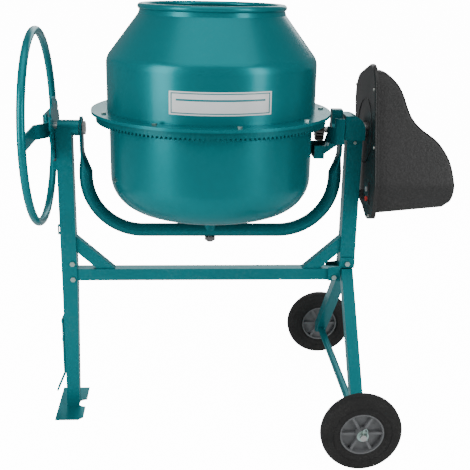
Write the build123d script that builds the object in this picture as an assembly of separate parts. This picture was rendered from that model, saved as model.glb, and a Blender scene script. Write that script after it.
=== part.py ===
from build123d import *
import os
from math import asin, atan2, cos, pi, radians, sin, sqrt, tan

# A tilting concrete mixer on a two-wheeled stand. All lengths are millimetres and +Z is up.
# Every piece is drawn with the drum's axis at X = 0, Y = 0 and the floor at Z = 0, the tilt axis runs
# along X, the handwheel is on the -X side and the motor housing on the +X side. When a piece is saved
# it is moved along X so that the origin lies below the middle of the whole machine.

# ---- stand ------------------------------------------------------------------------------------
tilt_height = 980.0          # tilt axis above the floor
left_post_x = -463.5         # middle of the left post, from the drum's axis
right_post_x = 461.0         # middle of the right post
post_size = 50.0             # square tube of both posts
post_wall = 3.0
rail_height = 491.5          # middle of the cross rail
rail_size = 40.0
rail_wall = 2.5
brace_size = 40.0            # depth of a brace seen from the front
brace_depth = 30.0
brace_wall = 2.0
brace_rise = 132.0           # the brace's outer edge on the post, above the rail's middle
brace_run = 125.0            # the brace's outer edge on the rail, from the post's inner face
leg_foot_size = 42.0         # the left leg tapers to this at the foot plate
leg_splay = 8.5              # the left leg's foot lies this far outside the post
foot_length = 222.0          # foot plate along Y
foot_width = 93.0
foot_thickness = 5.0
foot_notch_width = 54.0
foot_notch_depth = 27.0
foot_outset = 4.5            # foot plate's middle outside the leg's foot
joint_height = 515.0         # where the posts meet the legs
sleeve_length = 110.0
wheel_leg_size = 38.0
wheel_leg_wall = 2.5
frame_bolt_size = 10.0       # M10

# ---- wheels -----------------------------------------------------------------------------------
wheel_radius = 125.5
wheel_width = 56.0
wheel_track = 825.0          # between the middles of the two wheels
wheel_x = 454.5              # axle, from the drum's axis
rim_radius = 68.0
axle_size = 20.0
axle_tube_size = 26.0
axle_tube_length = 755.0
clip_wire = 3.0

# ---- drum -------------------------------------------------------------------------------------
drum_radius = 326.0          # upper drum, outside
drum_wall = 3.0
lower_radius = drum_radius - 6.0  # lower drum, outside
collar_height = tilt_height + 62.0  # joint between the two halves of the drum
collar_radius = drum_radius + 50.0
collar_lip = 9.0
collar_seal = 3.0
shoulder_height = collar_height + 161.5  # where the upper drum turns into the cone
shoulder_round = 50.0
neck_radius = 226.0
neck_height = shoulder_height + 130.5
mouth_radius = neck_radius - 7.5  # middle of the rolled mouth ring
mouth_height = neck_height + 21.5
mouth_rod = 19.0
dish_height = collar_height - 204.0  # where the lower drum's wall starts to curve in
dish_corner = 110.0
dish_slope = 15.0            # degrees, where the corner meets the crown
drum_bolts = 9
drum_bolt_size = 8.0
drum_bolt_circle = collar_radius - 26.0
drum_bolt_turn = 1.1         # degrees, first collar bolt after +X

# ---- gears ------------------------------------------------------------------------------------
ring_teeth = 162
pinion_teeth = 15
ring_inner = lower_radius + 11.0
ring_outer = ring_inner + 31.0
ring_pitch_radius = ring_inner + 17.0  # where the pitch is measured
pressure_angle = 20.0
tooth_backlash = 1.2         # along the pitch line, at the pitch radius
ring_segments = 3
segment_gap = 0.6

# ---- yoke -------------------------------------------------------------------------------------
yoke_tube = 43.5
yoke_wall = 3.0
yoke_bend = 180.0
yoke_floor = collar_height - 399.0  # middle of the yoke's lower run
yoke_left_x = -400.0
yoke_right_x = 406.0
yoke_flat = 9.0              # thickness of the flattened ends
yoke_flat_width = 60.0
yoke_flat_from = tilt_height - 73.0
yoke_round_to = tilt_height - 138.0
yoke_left_flat_x = -409.5
yoke_right_flat_x = 417.0
yoke_tip = tilt_height + 36.0
pivot_shaft = 20.0
pivot_bore = 42.0            # bearing outer diameter
pivot_bearing = 12.0         # bearing width
pivot_housing = 48.0
pivot_nut = 30.0

# ---- tilt bearings and lock -------------------------------------------------------------------
bearing_tube_size = 50.0
trunnion_size = 30.0
bush_wall = 4.0
running_fit = 0.05           # radial clearance of a shaft in its bush
lock_disc_radius = 98.0
lock_disc_x = -495.5
lock_disc_thickness = 5.0
lock_notches = 12
lock_notch_width = 13.0
lock_notch_depth = 14.0
plunger_gap = 1.0            # plunger below the disc while the foot holds it down
pedal_travel = 25.0
lock_rod_size = 10.0

# ---- handwheel --------------------------------------------------------------------------------
hand_ring_radius = 298.0
hand_ring_tube = 25.0
hand_ring_wall = 2.0
hand_ring_x = -541.0
spoke_width = 46.0
spoke_thickness = 6.0
spoke_hub_x = -505.0
spoke_bend_in = 45.0         # from the hub, where the spoke starts to bend out
spoke_bend_out = 90.0        # from the hub, where it reaches the ring's plane
hub_size = 44.0

# ---- right trunnion and drive -----------------------------------------------------------------
trunnion_tube = 48.0
trunnion_bore = 42.0
right_bearing_size = 62.0
drive_shaft_size = 20.0
hood_width = 64.0            # along X
hood_depth = 96.0
hood_top = tilt_height + 52.0
hood_bottom = tilt_height - 25.0
hood_round = 46.0
sheet = 3.0                  # folded steel sheet

# ---- motor housing, drawn upright and then leaned about the tilt axis ---------------------------
housing_lean = -17.0
housing_face_x = 495.0       # inner face of the back shell
shell_wall = 3.0
back_depth = 10.0            # back shell along X
back_half_width = 147.0
back_top = 200.0             # above the tilt axis
back_bottom = 287.0          # below the tilt axis
back_waist = 190.0           # below the tilt axis, where the sides start to close in
back_round = 84.0            # upper corners
back_ring = 210.0            # pressed ring round the trunnion
cover_round = 14.0           # round the cover's outer rim
foot_round = 26.0            # corners of the foot
waist_round = 50.0
cover_inset = 18.0           # the cover is this much smaller than the back shell all round
cover_rise = 20.0            # of the cover's underside towards its outer end
# the cover's front-view curve, X and height over the tilt axis, from the top round to the foot
cover_curve = ((526, 182), (559, 147), (582, 116), (596, 84), (607, 50), (624, 17), (655, -14),
               (695, -44), (721, -77), (738, -110), (750, -161), (753, -200), (744, -232),
               (722, -249))
large_pulley_radius = 118.0
small_pulley_radius = 16.0
pulley_width = 18.0
pulley_x = 542.0
motor_drop = 184.5           # from the tilt axis to the motor shaft
motor_lean = -26.4           # the motor hangs further forward than the housing
motor_radius = 64.0
motor_from_x = 572.0
motor_to_x = 714.0
motor_shaft_size = 14.0
belt_thickness = 4.0

# ---- switch -----------------------------------------------------------------------------------
switch_width = 40.0
switch_height = 66.0
switch_depth = 14.0
switch_drop = 207.0
switch_side = -42.0
inlet_drop = 205.0
inlet_side = 45.0
button_size = 16.0
button_travel = 4.0
on_button_proud = 3.0
off_button_proud = 4.0

hand_ring_outer = hand_ring_x - hand_ring_tube / 2
cover_outer_x = max(x for x, z in cover_curve)
origin_x = (hand_ring_outer + cover_outer_x) / 2
post_left_face = left_post_x - post_size / 2


# ---- drawing helpers --------------------------------------------------------------------------
def box(x0, x1, y0, y1, z0, z1):
    size = Box(x1 - x0, y1 - y0, z1 - z0)
    return Pos((x0 + x1) / 2, (y0 + y1) / 2, (z0 + z1) / 2) * size


def rod_x(size, x0, x1, y=0.0, z=0.0):
    return Pos((x0 + x1) / 2, y, z) * Rot(0, 90, 0) * Cylinder(size / 2, abs(x1 - x0))


def rod_y(size, y0, y1, x=0.0, z=0.0):
    return Pos(x, (y0 + y1) / 2, z) * Rot(90, 0, 0) * Cylinder(size / 2, abs(y1 - y0))


def rod_z(size, z0, z1, x=0.0, y=0.0):
    return Pos(x, y, (z0 + z1) / 2) * Cylinder(size / 2, abs(z1 - z0))


def tube_x(outer, inner, x0, x1, y=0.0, z=0.0):
    return rod_x(outer, x0, x1, y, z) - rod_x(inner, x0 - 1, x1 + 1, y, z)


def tube_y(outer, inner, y0, y1, x=0.0, z=0.0):
    return rod_y(outer, y0, y1, x, z) - rod_y(inner, y0 - 1, y1 + 1, x, z)


def tube_z(outer, inner, z0, z1, x=0.0, y=0.0):
    return rod_z(outer, z0, z1, x, y) - rod_z(inner, z0 - 1, z1 + 1, x, y)


def hexagon(flats, length):
    return extrude(RegularPolygon(flats / 2, 6, major_radius=False), length)


def hex_x(flats, x0, x1, y, z):
    return Pos(x0, y, z) * Rot(0, 90, 0) * hexagon(flats, x1 - x0)


def hex_y(flats, y0, y1, x, z):
    return Pos(x, y1, z) * Rot(90, 0, 0) * hexagon(flats, y1 - y0)


def plate_xz(points, y0, y1):
    """A flat plate drawn in the X-Z plane, between two Y values."""
    face = make_face(Polyline([(x, z) for x, z in points], close=True))
    return Pos(0, y1, 0) * Rot(90, 0, 0) * extrude(face, y1 - y0)


def square_tube(size_u, size_v, wall, length):
    """A square tube that stands on the X-Y plane."""
    outer = Rectangle(size_u, size_v)
    return extrude(outer - Rectangle(size_u - 2 * wall, size_v - 2 * wall), length)


def lean(piece, angle=housing_lean):
    """Turn a piece of the motor unit about the tilt axis, to the angle it is bolted on at."""
    return Pos(0, 0, tilt_height) * Rot(angle, 0, 0) * Pos(0, 0, -tilt_height) * piece


def save(name, *pieces):
    solids = [Pos(-origin_x, 0, 0) * solid for piece in pieces for solid in piece.solids()]
    whole = solids[0] if len(solids) == 1 else Compound(solids)
    export_step(whole, "parts/" + name + ".step")


# ---- stand ------------------------------------------------------------------------------------
def post_tube(x, bearing_size, hole_x, hole_height):
    """An upright post whose top is saddled to the bearing tube it carries."""
    tube = Pos(x, 0, joint_height) * square_tube(
        post_size, post_size, post_wall, tilt_height - joint_height)
    tube -= rod_x(bearing_size, x - post_size, x + post_size, 0, tilt_height)
    return tube - rod_y(frame_bolt_size, -post_size, post_size, hole_x, hole_height)


left_bolt_heights = (joint_height + 17, joint_height - 37)
left_bolt_x = left_post_x + 11.5
lock_rod_x = left_post_x - 10.5
right_bolt_height = joint_height + 17
slot_top = tilt_height - lock_disc_radius - plunger_gap + 8
slot_bottom = slot_top - 45 - pedal_travel
rod_slot = lock_rod_size + 4
pedal_bolt_heights = (318.0, 250.0)


def left_upright():
    tube = post_tube(left_post_x, bearing_tube_size, left_bolt_x, left_bolt_heights[0])
    slot = box(post_left_face - 1, post_left_face + post_wall + 1, -rod_slot / 2, rod_slot / 2,
               slot_bottom, slot_top)
    return tube - slot


def leg_section(size_x, size_y, x, z):
    return Plane((x, 0, z)) * Rectangle(size_x, size_y)


taper_top = joint_height - sleeve_length / 2 - 5
foot_x = left_post_x - leg_splay + 1.5


def leg_taper(inset):
    """The tapered length of the left leg, or its bore."""
    foot = leg_foot_size - 2 * inset
    head = post_size - 2 * inset
    return loft([leg_section(foot, foot, foot_x, foot_thickness),
                 leg_section(head, head, left_post_x, taper_top)], ruled=True)


def left_leg():
    """Straight where the sleeve is, then tapered and splayed down to the foot plate."""
    straight = Pos(left_post_x, 0, taper_top) * square_tube(
        post_size, post_size, post_wall, joint_height - taper_top)
    leg = leg_taper(0) - leg_taper(post_wall) + straight
    leg -= rod_y(frame_bolt_size, -post_size, post_size, left_bolt_x, left_bolt_heights[1])
    for height in pedal_bolt_heights:
        leg -= box(post_left_face - 12, left_post_x - 16, -5, 5,
                   height - pedal_travel - 5, height + 5)
    return leg


def left_sleeve():
    size = post_size - 2 * post_wall - 0.6
    sleeve = Pos(left_post_x, 0, joint_height - sleeve_length / 2) * square_tube(
        size, size, post_wall, sleeve_length)
    for height in left_bolt_heights:
        sleeve -= rod_y(frame_bolt_size, -post_size, post_size, left_bolt_x, height)
    return sleeve


def foot_plate():
    middle = foot_x - foot_outset
    left = middle - foot_width / 2
    right = middle + foot_width / 2
    plate = box(left, right, -foot_length / 2, foot_length / 2, 0, foot_thickness)
    notch_end = right - foot_notch_depth + foot_notch_width / 2
    notch = rod_z(foot_notch_width, -1, foot_thickness + 1, notch_end)
    notch += box(notch_end, right + 1, -foot_notch_width / 2, foot_notch_width / 2,
                 -1, foot_thickness + 1)
    plate -= notch & box(left, right + 1, -foot_length, foot_length, -1, foot_thickness + 1)
    corner = plate.edges().filter_by(Axis.Z).sort_by(Axis.Y)[:2].sort_by(Axis.X)[-1]
    return chamfer(corner, 16)


rail_from = left_post_x + post_size / 2
rail_to = right_post_x - post_size / 2


def cross_rail():
    rail = Pos(rail_from, 0, rail_height) * Rot(0, 90, 0) * square_tube(
        rail_size, rail_size, rail_wall, rail_to - rail_from)
    return rail - rod_y(frame_bolt_size, -rail_size, rail_size, rail_to - 18, rail_height - 8)


def brace(face_x, side):
    """A hollow diagonal from a post's inner face down to the rail's top."""
    top = rail_height + brace_rise
    rail_top = rail_height + rail_size / 2
    far = face_x + side * brace_run
    angle = atan2(top - rail_top, brace_run)
    drop = brace_size / cos(angle)
    back = brace_size / sin(angle)

    def outline(inset):
        step_up = inset / cos(angle)
        step_in = inset / sin(angle)
        return [(face_x, top - step_up), (far - side * step_in, rail_top),
                (far - side * (back - step_in), rail_top), (face_x, top - drop + step_up)]

    solid = plate_xz(outline(0), -brace_depth / 2, brace_depth / 2)
    return solid - plate_xz(outline(brace_wall), -brace_depth / 2 + brace_wall,
                            brace_depth / 2 - brace_wall)


def frame_bolt(x, z, half_grip, size=frame_bolt_size):
    head = size * 1.6
    bolt = rod_y(size, -half_grip - 1, half_grip + size * 1.2, x, z)
    bolt += hex_y(head, -half_grip - size * 0.65, -half_grip, x, z)
    return bolt + hex_y(head, half_grip, half_grip + size * 0.8, x, z)


bracket_sheet = 4.0
bracket_half = post_size / 2 + bracket_sheet


def frame_bolts():
    bolts = [frame_bolt(left_bolt_x, height, post_size / 2) for height in left_bolt_heights]
    bolts.append(frame_bolt(right_post_x, right_bolt_height, bracket_half))
    bolts.append(frame_bolt(rail_to - 18, rail_height - 8, bracket_half))
    return bolts


def right_upright():
    tube = post_tube(right_post_x, right_bearing_size, right_post_x, right_bolt_height)
    for height in hood_bolt_heights:
        tube -= rod_y(6, -post_size, post_size, right_post_x, height)
    return tube


hood_bolt_heights = (hood_bottom - 12,)


def corner_bracket():
    """Two cheek plates that clasp the right post, the rail's end and the legs' head."""
    low = rail_height - rail_size / 2
    right = right_post_x + post_size / 2
    outline = [(rail_to - 38, low), (rail_to + 4, low), (rail_to + 4, joint_height + 10),
               (right, joint_height + 10), (right, joint_height + 38), (rail_to, joint_height + 38),
               (rail_to - 2, joint_height + 8), (rail_to - 38, joint_height + 4)]
    cheeks = plate_xz(outline, -bracket_half, bracket_half)
    cheeks -= box(rail_to - 60, right + 10, -post_size / 2, post_size / 2, low - 5, joint_height + 60)
    cheeks -= rod_y(frame_bolt_size, -60, 60, right_post_x, right_bolt_height)
    return cheeks - rod_y(frame_bolt_size, -60, 60, rail_to - 18, rail_height - 8)


leg_end_y = axle_tube_length / 2 - 12


def wheel_leg(side):
    """A square tube from the head below the post out to one end of the axle tube."""
    top = Vector(right_post_x, side * wheel_leg_size * 0.25, joint_height - 1)
    foot = Vector(wheel_x, side * leg_end_y, wheel_radius)
    run = top - foot
    plane = Plane(origin=foot - run.normalized() * 30, x_dir=(1, 0, 0), z_dir=run.normalized())
    size = wheel_leg_size
    section = plane * (Rectangle(size, size) - Rectangle(size - 2 * wheel_leg_wall,
                                                         size - 2 * wheel_leg_wall))
    leg = extrude(section, run.length + 90)
    reach = 2 * leg_end_y
    keep = box(wheel_x - 60, right_post_x + 60, 0.3, reach, 0, joint_height - 0.3)
    if side < 0:
        keep = box(wheel_x - 60, right_post_x + 60, -reach, -0.3, 0, joint_height - 0.3)
    leg = leg & keep
    foot_cut = box(wheel_x - 60, wheel_x + 60, -reach, reach, 0, wheel_radius - size / 2)
    end_cut = box(wheel_x - 60, wheel_x + 60, leg_end_y + 12, reach, 0, tilt_height)
    if side < 0:
        end_cut = box(wheel_x - 60, wheel_x + 60, -reach, -leg_end_y - 12, 0, tilt_height)
    leg -= foot_cut
    leg -= end_cut
    return leg - rod_y(axle_tube_size, -reach, reach, wheel_x, wheel_radius)


def axle_tube():
    half = axle_tube_length / 2
    return tube_y(axle_tube_size, axle_size + 0.4, -half, half, wheel_x, wheel_radius)


wheel_face = wheel_track / 2 + wheel_width / 2
washer_thickness = 2.0
wheel_play = 0.4
clip_y = wheel_face + wheel_play + washer_thickness + 3 + clip_wire / 2
axle_half = clip_y + 8


def axle():
    rod = rod_y(axle_size, -axle_half, axle_half, wheel_x, wheel_radius)
    for side in (-1, 1):
        rod -= rod_z(clip_wire, wheel_radius - 20, wheel_radius + 20, wheel_x, side * clip_y)
    return rod


# ---- wheels -----------------------------------------------------------------------------------
hub_radius = 20.0


def tyre(side):
    """A solid rubber tyre: rounded shoulders, a groove by each shoulder and a recessed sidewall."""
    half = wheel_width / 2
    seat = half - 8
    with BuildPart() as ring:
        with BuildSketch(Plane.XZ):
            with BuildLine():
                Polyline((rim_radius, -seat), (rim_radius, seat), (rim_radius + 6, half - 1),
                         (rim_radius + 14, half), (wheel_radius - 16, half - 2))
                RadiusArc((wheel_radius - 16, half - 2), (wheel_radius, half - 20), 22)
                Line((wheel_radius, half - 20), (wheel_radius, 20 - half))
                RadiusArc((wheel_radius, 20 - half), (wheel_radius - 16, 2 - half), 22)
                Polyline((wheel_radius - 16, 2 - half), (rim_radius + 14, -half),
                         (rim_radius + 6, 1 - half), (rim_radius, -seat))
            make_face()
        revolve(axis=Axis.Z)
    body = ring.part
    for level in (-1, 1):
        groove = Torus(rim_radius + 22, 1.2)
        body -= Pos(0, 0, level * (half - 0.4)) * groove
    return Pos(wheel_x, side * wheel_track / 2, wheel_radius) * Rot(90, 0, 0) * body


def rim(side):
    """A moulded rim: barrel, centre disc, six ribs each side and a long hub."""
    half = wheel_width / 2
    seat = half - 8 - 0.2
    body = tube_z(2 * rim_radius, 2 * (rim_radius - 5), -seat, seat)
    body += tube_z(2 * (rim_radius - 4), axle_size + 0.2, -3, 3)
    body += tube_z(2 * hub_radius, axle_size + 0.2, -half, half)
    for turn in range(6):
        rib = box(hub_radius - 2, rim_radius - 3, -4, 4, -seat + 5, seat - 5)
        body += Rot(0, 0, 60 * turn) * rib
    body -= rod_z(axle_size + 0.2, -half - 1, half + 1)
    return Pos(wheel_x, side * wheel_track / 2, wheel_radius) * Rot(90, 0, 0) * body


def wheel_washers():
    inner_face = wheel_track / 2 - wheel_width / 2 - wheel_play
    outer_face = wheel_face + wheel_play
    rings = []
    for side in (-1, 1):
        for near, far in ((inner_face - washer_thickness, inner_face),
                          (outer_face, outer_face + washer_thickness)):
            low, high = sorted((side * near, side * far))
            rings.append(tube_y(36, axle_size + 0.1, low, high, wheel_x, wheel_radius))
    return rings


def wheel_clip(side):
    """A cotter whose straight leg crosses the axle and whose bow hugs it."""
    size = clip_wire - 0.1
    y = side * clip_y
    straight = rod_z(size, wheel_radius - 15, wheel_radius + 20, wheel_x, y)
    loop = Pos(wheel_x + 6, y, wheel_radius + 20) * Rot(90, 0, 0) * Torus(6, size / 2)
    half_loop = loop & box(wheel_x - 10, wheel_x + 20, y - 5, y + 5,
                           wheel_radius + 20, wheel_radius + 40)
    tail = rod_z(size, wheel_radius - 12, wheel_radius + 20, wheel_x + 12, y)
    return straight + half_loop + tail


# ---- left tilt bearing, lock and handwheel ------------------------------------------------------
bearing_left = -482.0
bearing_right = yoke_left_flat_x - yoke_flat / 2 - 2.0
bush_bore = trunnion_size + 2 * running_fit
bush_size = trunnion_size + 2 * bush_wall


def left_bearing_tube():
    return tube_x(bearing_tube_size, bush_size, bearing_left, bearing_right, 0, tilt_height)


def left_bush():
    return tube_x(bush_size, bush_bore, bearing_left, bearing_right, 0, tilt_height)


trunnion_thread = 24.0
trunnion_nut = 9.0
hub_outer_x = spoke_hub_x - spoke_thickness / 2 - 18
flat_outer_x = yoke_left_flat_x - yoke_flat / 2
flat_inner_x = yoke_left_flat_x + yoke_flat / 2


def left_trunnion():
    shaft = rod_x(trunnion_size, hub_outer_x, flat_outer_x, 0, tilt_height)
    shaft += rod_x(trunnion_thread, flat_outer_x, flat_inner_x + trunnion_nut, 0, tilt_height)
    return shaft - rod_z(hub_pin_size, tilt_height - 30, tilt_height + 30, hub_pin_x)


def left_trunnion_nut():
    nut = hex_x(38, flat_inner_x, flat_inner_x + trunnion_nut, 0, tilt_height)
    return nut - rod_x(trunnion_thread, flat_inner_x - 1, flat_inner_x + 20, 0, tilt_height)


def lock_disc():
    disc = tube_x(2 * lock_disc_radius, trunnion_size, lock_disc_x,
                  lock_disc_x + lock_disc_thickness, 0, tilt_height)
    bottom = lock_disc_radius - lock_notch_depth
    for step in range(lock_notches):
        notch = box(lock_disc_x - 1, lock_disc_x + lock_disc_thickness + 1,
                    -lock_notch_width / 2, lock_notch_width / 2,
                    tilt_height + bottom, tilt_height + lock_disc_radius + 5)
        notch += rod_x(lock_notch_width, lock_disc_x - 1, lock_disc_x + lock_disc_thickness + 1,
                       0, tilt_height + bottom)
        turn = Pos(0, 0, tilt_height) * Rot(360 / lock_notches * step, 0, 0)
        disc -= turn * Pos(0, 0, -tilt_height) * notch
    weld = tube_x(hub_size, trunnion_size, spoke_hub_x + spoke_thickness / 2, lock_disc_x,
                  0, tilt_height)
    return disc + weld


hub_pin_size = 9.0
hub_pin_x = spoke_hub_x - spoke_thickness / 2 - 9


def handwheel_hub():
    hub = tube_x(hub_size, trunnion_size, hub_outer_x, spoke_hub_x - spoke_thickness / 2,
                 0, tilt_height)
    return hub - rod_z(hub_pin_size, tilt_height - 40, tilt_height + 40, hub_pin_x)


def hub_pin():
    pin = rod_z(hub_pin_size, tilt_height - hub_size / 2 - 4, tilt_height + 42, hub_pin_x)
    return pin


def handwheel_ring():
    ring = Torus(hand_ring_radius, hand_ring_tube / 2)
    ring -= Torus(hand_ring_radius, hand_ring_tube / 2 - hand_ring_wall)
    return Pos(hand_ring_x, 0, tilt_height) * Rot(0, 90, 0) * ring


def handwheel_spoke():
    """A flat bar across the ring, dished near its middle so that it meets the hub."""
    half = spoke_thickness / 2
    end = hand_ring_radius - hand_ring_tube / 2 + 4
    rise = spoke_hub_x - hand_ring_x
    run = spoke_bend_out - spoke_bend_in
    shift = half * tan(atan2(rise, run) / 2)
    outline = [(spoke_hub_x - half, 0), (spoke_hub_x - half, spoke_bend_in - shift),
               (hand_ring_x - half, spoke_bend_out - shift), (hand_ring_x - half, end),
               (hand_ring_x + half, end), (hand_ring_x + half, spoke_bend_out + shift),
               (spoke_hub_x + half, spoke_bend_in + shift), (spoke_hub_x + half, 0)]
    half_bar = extrude(make_face(Polyline(outline, close=True)), spoke_width / 2, both=True)
    bar = half_bar + mirror(half_bar, Plane.XZ)
    bar = Pos(0, 0, tilt_height) * bar
    bar -= rod_x(trunnion_size, spoke_hub_x - 20, spoke_hub_x + 20, 0, tilt_height)
    ring = Torus(hand_ring_radius, hand_ring_tube / 2)
    return bar - Pos(hand_ring_x, 0, tilt_height) * Rot(0, 90, 0) * ring


# lock: a rod inside the left post, worked by the pedal, pushes a plunger up into the disc
plunger_top = tilt_height - lock_disc_radius - plunger_gap
plunger_x = lock_disc_x + lock_disc_thickness / 2
rod_top = plunger_top - 20


def lock_rod():
    low = pedal_bolt_heights[1] - 25
    rod = rod_z(lock_rod_size, low, rod_top, lock_rod_x)
    rod += box(lock_rod_x - 6, lock_rod_x + 6, -9, 9, low, pedal_bolt_heights[0] + 22)
    for height in pedal_bolt_heights:
        rod -= rod_x(6, lock_rod_x - 20, lock_rod_x + 20, 0, height)
    return rod


def lock_plunger():
    """A square finger that leaves the post through its slot and turns up below the disc."""
    finger = lock_notch_width - 3
    eye = lock_rod_size + 5
    arm = box(plunger_x - 5, lock_rod_x, -finger / 2, finger / 2, rod_top - 14, rod_top)
    arm += rod_z(eye, rod_top - 14, rod_top, lock_rod_x)
    arm -= rod_z(lock_rod_size, rod_top - 20, rod_top + 5, lock_rod_x)
    tip = box(plunger_x - 5, plunger_x + 4, -finger / 2, finger / 2, rod_top - 14, plunger_top)
    return arm + tip


guide_gap = 0.4


def lock_guide():
    """A folded clip on the post's outer face that keeps the plunger upright."""
    half = (lock_notch_width - 3) / 2 + guide_gap
    left = plunger_x - 5 - guide_gap - 4
    clip = box(left, post_left_face, -half - 4, half + 4, plunger_top - 36, plunger_top - 8)
    return clip - box(left + 4, post_left_face + 1, -half, half, plunger_top - 60, plunger_top + 20)


pedal_width = 40.0
pedal_bar = 6.0
pedal_top = 332.0
pedal_kink = 128.0
pedal_low = 62.0
pedal_kick = 28.0


def leg_face(height):
    """Outer face of the tapered left leg at a height."""
    foot_left = foot_x - leg_foot_size / 2
    share = (taper_top - height) / (taper_top - foot_thickness)
    return post_left_face + (foot_left - post_left_face) * share


pedal_face = leg_face(pedal_kink) - 1.2


def pedal():
    right = pedal_face
    outline = [(right, pedal_top), (right, pedal_kink), (right - pedal_kick, pedal_low),
               (right - pedal_kick - pedal_bar * 0.92, pedal_low + pedal_bar * 0.4),
               (right - pedal_bar, pedal_kink + 1.5), (right - pedal_bar, pedal_top)]
    bar = plate_xz(outline, -pedal_width / 2, pedal_width / 2)
    for height in pedal_bolt_heights:
        bar -= rod_x(6, right - 20, right + 20, 0, height)
    return bar


def pedal_bolts():
    bolts = []
    for height in pedal_bolt_heights:
        left = pedal_face - pedal_bar
        bolt = rod_x(6, left - 1, lock_rod_x + 13, 0, height)
        bolt += hex_x(10, left - 4, left, 0, height)
        bolt += hex_x(10, lock_rod_x + 6, lock_rod_x + 11, 0, height)
        bolts.append(bolt)
    return bolts


def lock_spring():
    """Lifts the rod: it stands on a seat across the leg and presses under the rod's collar."""
    coil = Helix(pitch=8, height=80, radius=6.8)
    start = Plane(origin=coil @ 0, z_dir=coil % 0)
    wire = sweep(start * Circle(0.9), path=coil, is_frenet=True)
    return Pos(lock_rod_x, 0, spring_foot + 1.1) * wire


spring_foot = 372.0
spring_seat = 4.0


def spring_seat_plate():
    """A plate across the leg's bore, with a hole for the rod."""
    half = post_size / 2
    plate = box(left_post_x - half - leg_splay, left_post_x + half, -half, half,
                spring_foot - spring_seat, spring_foot)
    plate = plate & leg_taper(post_wall + 0.2)
    return plate - rod_z(lock_rod_size + 2, spring_foot - 10, spring_foot + 10, lock_rod_x)


def spring_collar():
    low = spring_foot + 82.5
    return tube_z(15.6, lock_rod_size, low, low + 5, lock_rod_x)


def post_hook():
    """A small hook welded half way up the left post's outer face."""
    hook = box(post_left_face - 7, post_left_face, -20, -6, 632, 664)
    return hook - box(post_left_face - 4, post_left_face + 1, -21, -5, 637, 659)


# ---- yoke -------------------------------------------------------------------------------------
def yoke_path():
    """The U of the yoke's middle line, between the two places where its ends are pressed flat."""
    corners = [(yoke_left_x, yoke_round_to), (yoke_left_x, yoke_floor),
               (yoke_right_x, yoke_floor), (yoke_right_x, yoke_round_to)]
    return Plane.XZ * FilletPolyline(*corners, radius=yoke_bend)


def yoke_end(tube_x0, flat_x, inset, top):
    """The tube's end pressed flat: a circle blends into a slot, which rises to a rounded tip."""
    low = Plane((tube_x0, 0, yoke_round_to)) * Circle(yoke_tube / 2 - inset)
    width = yoke_flat_width - 2 * inset
    thick = yoke_flat - 2 * inset
    flat = Plane((flat_x, 0, yoke_flat_from)) * RectangleRounded(thick, width, thick / 2 - 0.3)
    blend = loft([low, flat])
    return blend + extrude(flat, top - yoke_flat_from - inset)


def tip_cut(flat_x):
    """What is left of the flattened end once its tip is rounded."""
    radius = yoke_flat_width / 2
    keep = rod_x(2 * radius, flat_x - 60, flat_x + 60, 0, yoke_tip - radius)
    return keep + box(flat_x - 60, flat_x + 60, -radius - 1, radius + 1, 0, yoke_tip - radius)


def yoke():
    """One tube bent to a U, pressed flat at both ends and drilled for the trunnions and spindle."""
    path = yoke_path()
    start = Plane(origin=(yoke_left_x, 0, yoke_round_to), z_dir=(0, 0, -1))
    tube = sweep(start * Circle(yoke_tube / 2), path=path)
    tube -= sweep(start * Circle(yoke_tube / 2 - yoke_wall), path=path)
    for tube_x0, flat_x in ((yoke_left_x, yoke_left_flat_x), (yoke_right_x, yoke_right_flat_x)):
        end = yoke_end(tube_x0, flat_x, 0, yoke_tip) - yoke_end(tube_x0, flat_x, yoke_wall, yoke_tip)
        tube += end & tip_cut(flat_x)
    tube -= rod_x(trunnion_thread, yoke_left_flat_x - 20, yoke_left_flat_x + 20, 0, tilt_height)
    tube -= rod_x(trunnion_tube, yoke_right_flat_x - 20, yoke_right_flat_x + 20, 0, tilt_height)
    return tube - rod_z(pivot_shaft + 1, yoke_floor - yoke_tube, yoke_floor + yoke_tube)


housing_low = yoke_floor
bearing_floor = yoke_floor + yoke_tube / 2 + 2.5
housing_top = bearing_floor + 2 * pivot_bearing + 4.5


def pivot_housing_piece():
    """A turned cup welded on the yoke, which holds the drum's two bearings."""
    cup = rod_z(pivot_housing, housing_low, housing_top)
    cup -= rod_x(yoke_tube, -100, 100, 0, yoke_floor)
    cup -= box(-100, 100, -100, 100, 0, yoke_floor)
    cup -= rod_z(pivot_bore, bearing_floor, housing_top + 1)
    return cup - rod_z(pivot_shaft + 1, 0, housing_top)


bearing_sizes = (pivot_bore, pivot_shaft, pivot_bearing)


def outer_race(bore, shaft, width):
    inner = bore - (bore - shaft) * 0.28
    return tube_z(bore, inner, 0, width)


def inner_race(bore, shaft, width):
    outer = shaft + (bore - shaft) * 0.28
    return tube_z(outer, shaft, 0, width)


def race_balls(bore, shaft, width, count):
    """Balls in a cage ring, just clear of both races."""
    gap = 0.3
    middle = (bore + shaft) / 4
    ball = (bore - shaft) * (1 - 0.56) / 4 - gap
    cage = tube_z(2 * middle + 1.6, 2 * middle - 1.6, width / 2 - ball * 0.6, width / 2 + ball * 0.6)
    for turn in range(count):
        cage += Rot(0, 0, 360 / count * turn) * Pos(middle, 0, width / 2) * Sphere(ball)
    return cage


pivot_levels = (bearing_floor, bearing_floor + pivot_bearing + 3)


def pivot_races(make):
    return [Pos(0, 0, level) * make(*bearing_sizes) for level in pivot_levels]


def pivot_cages():
    return [Pos(0, 0, level) * race_balls(*bearing_sizes, 9) for level in pivot_levels]


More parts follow.
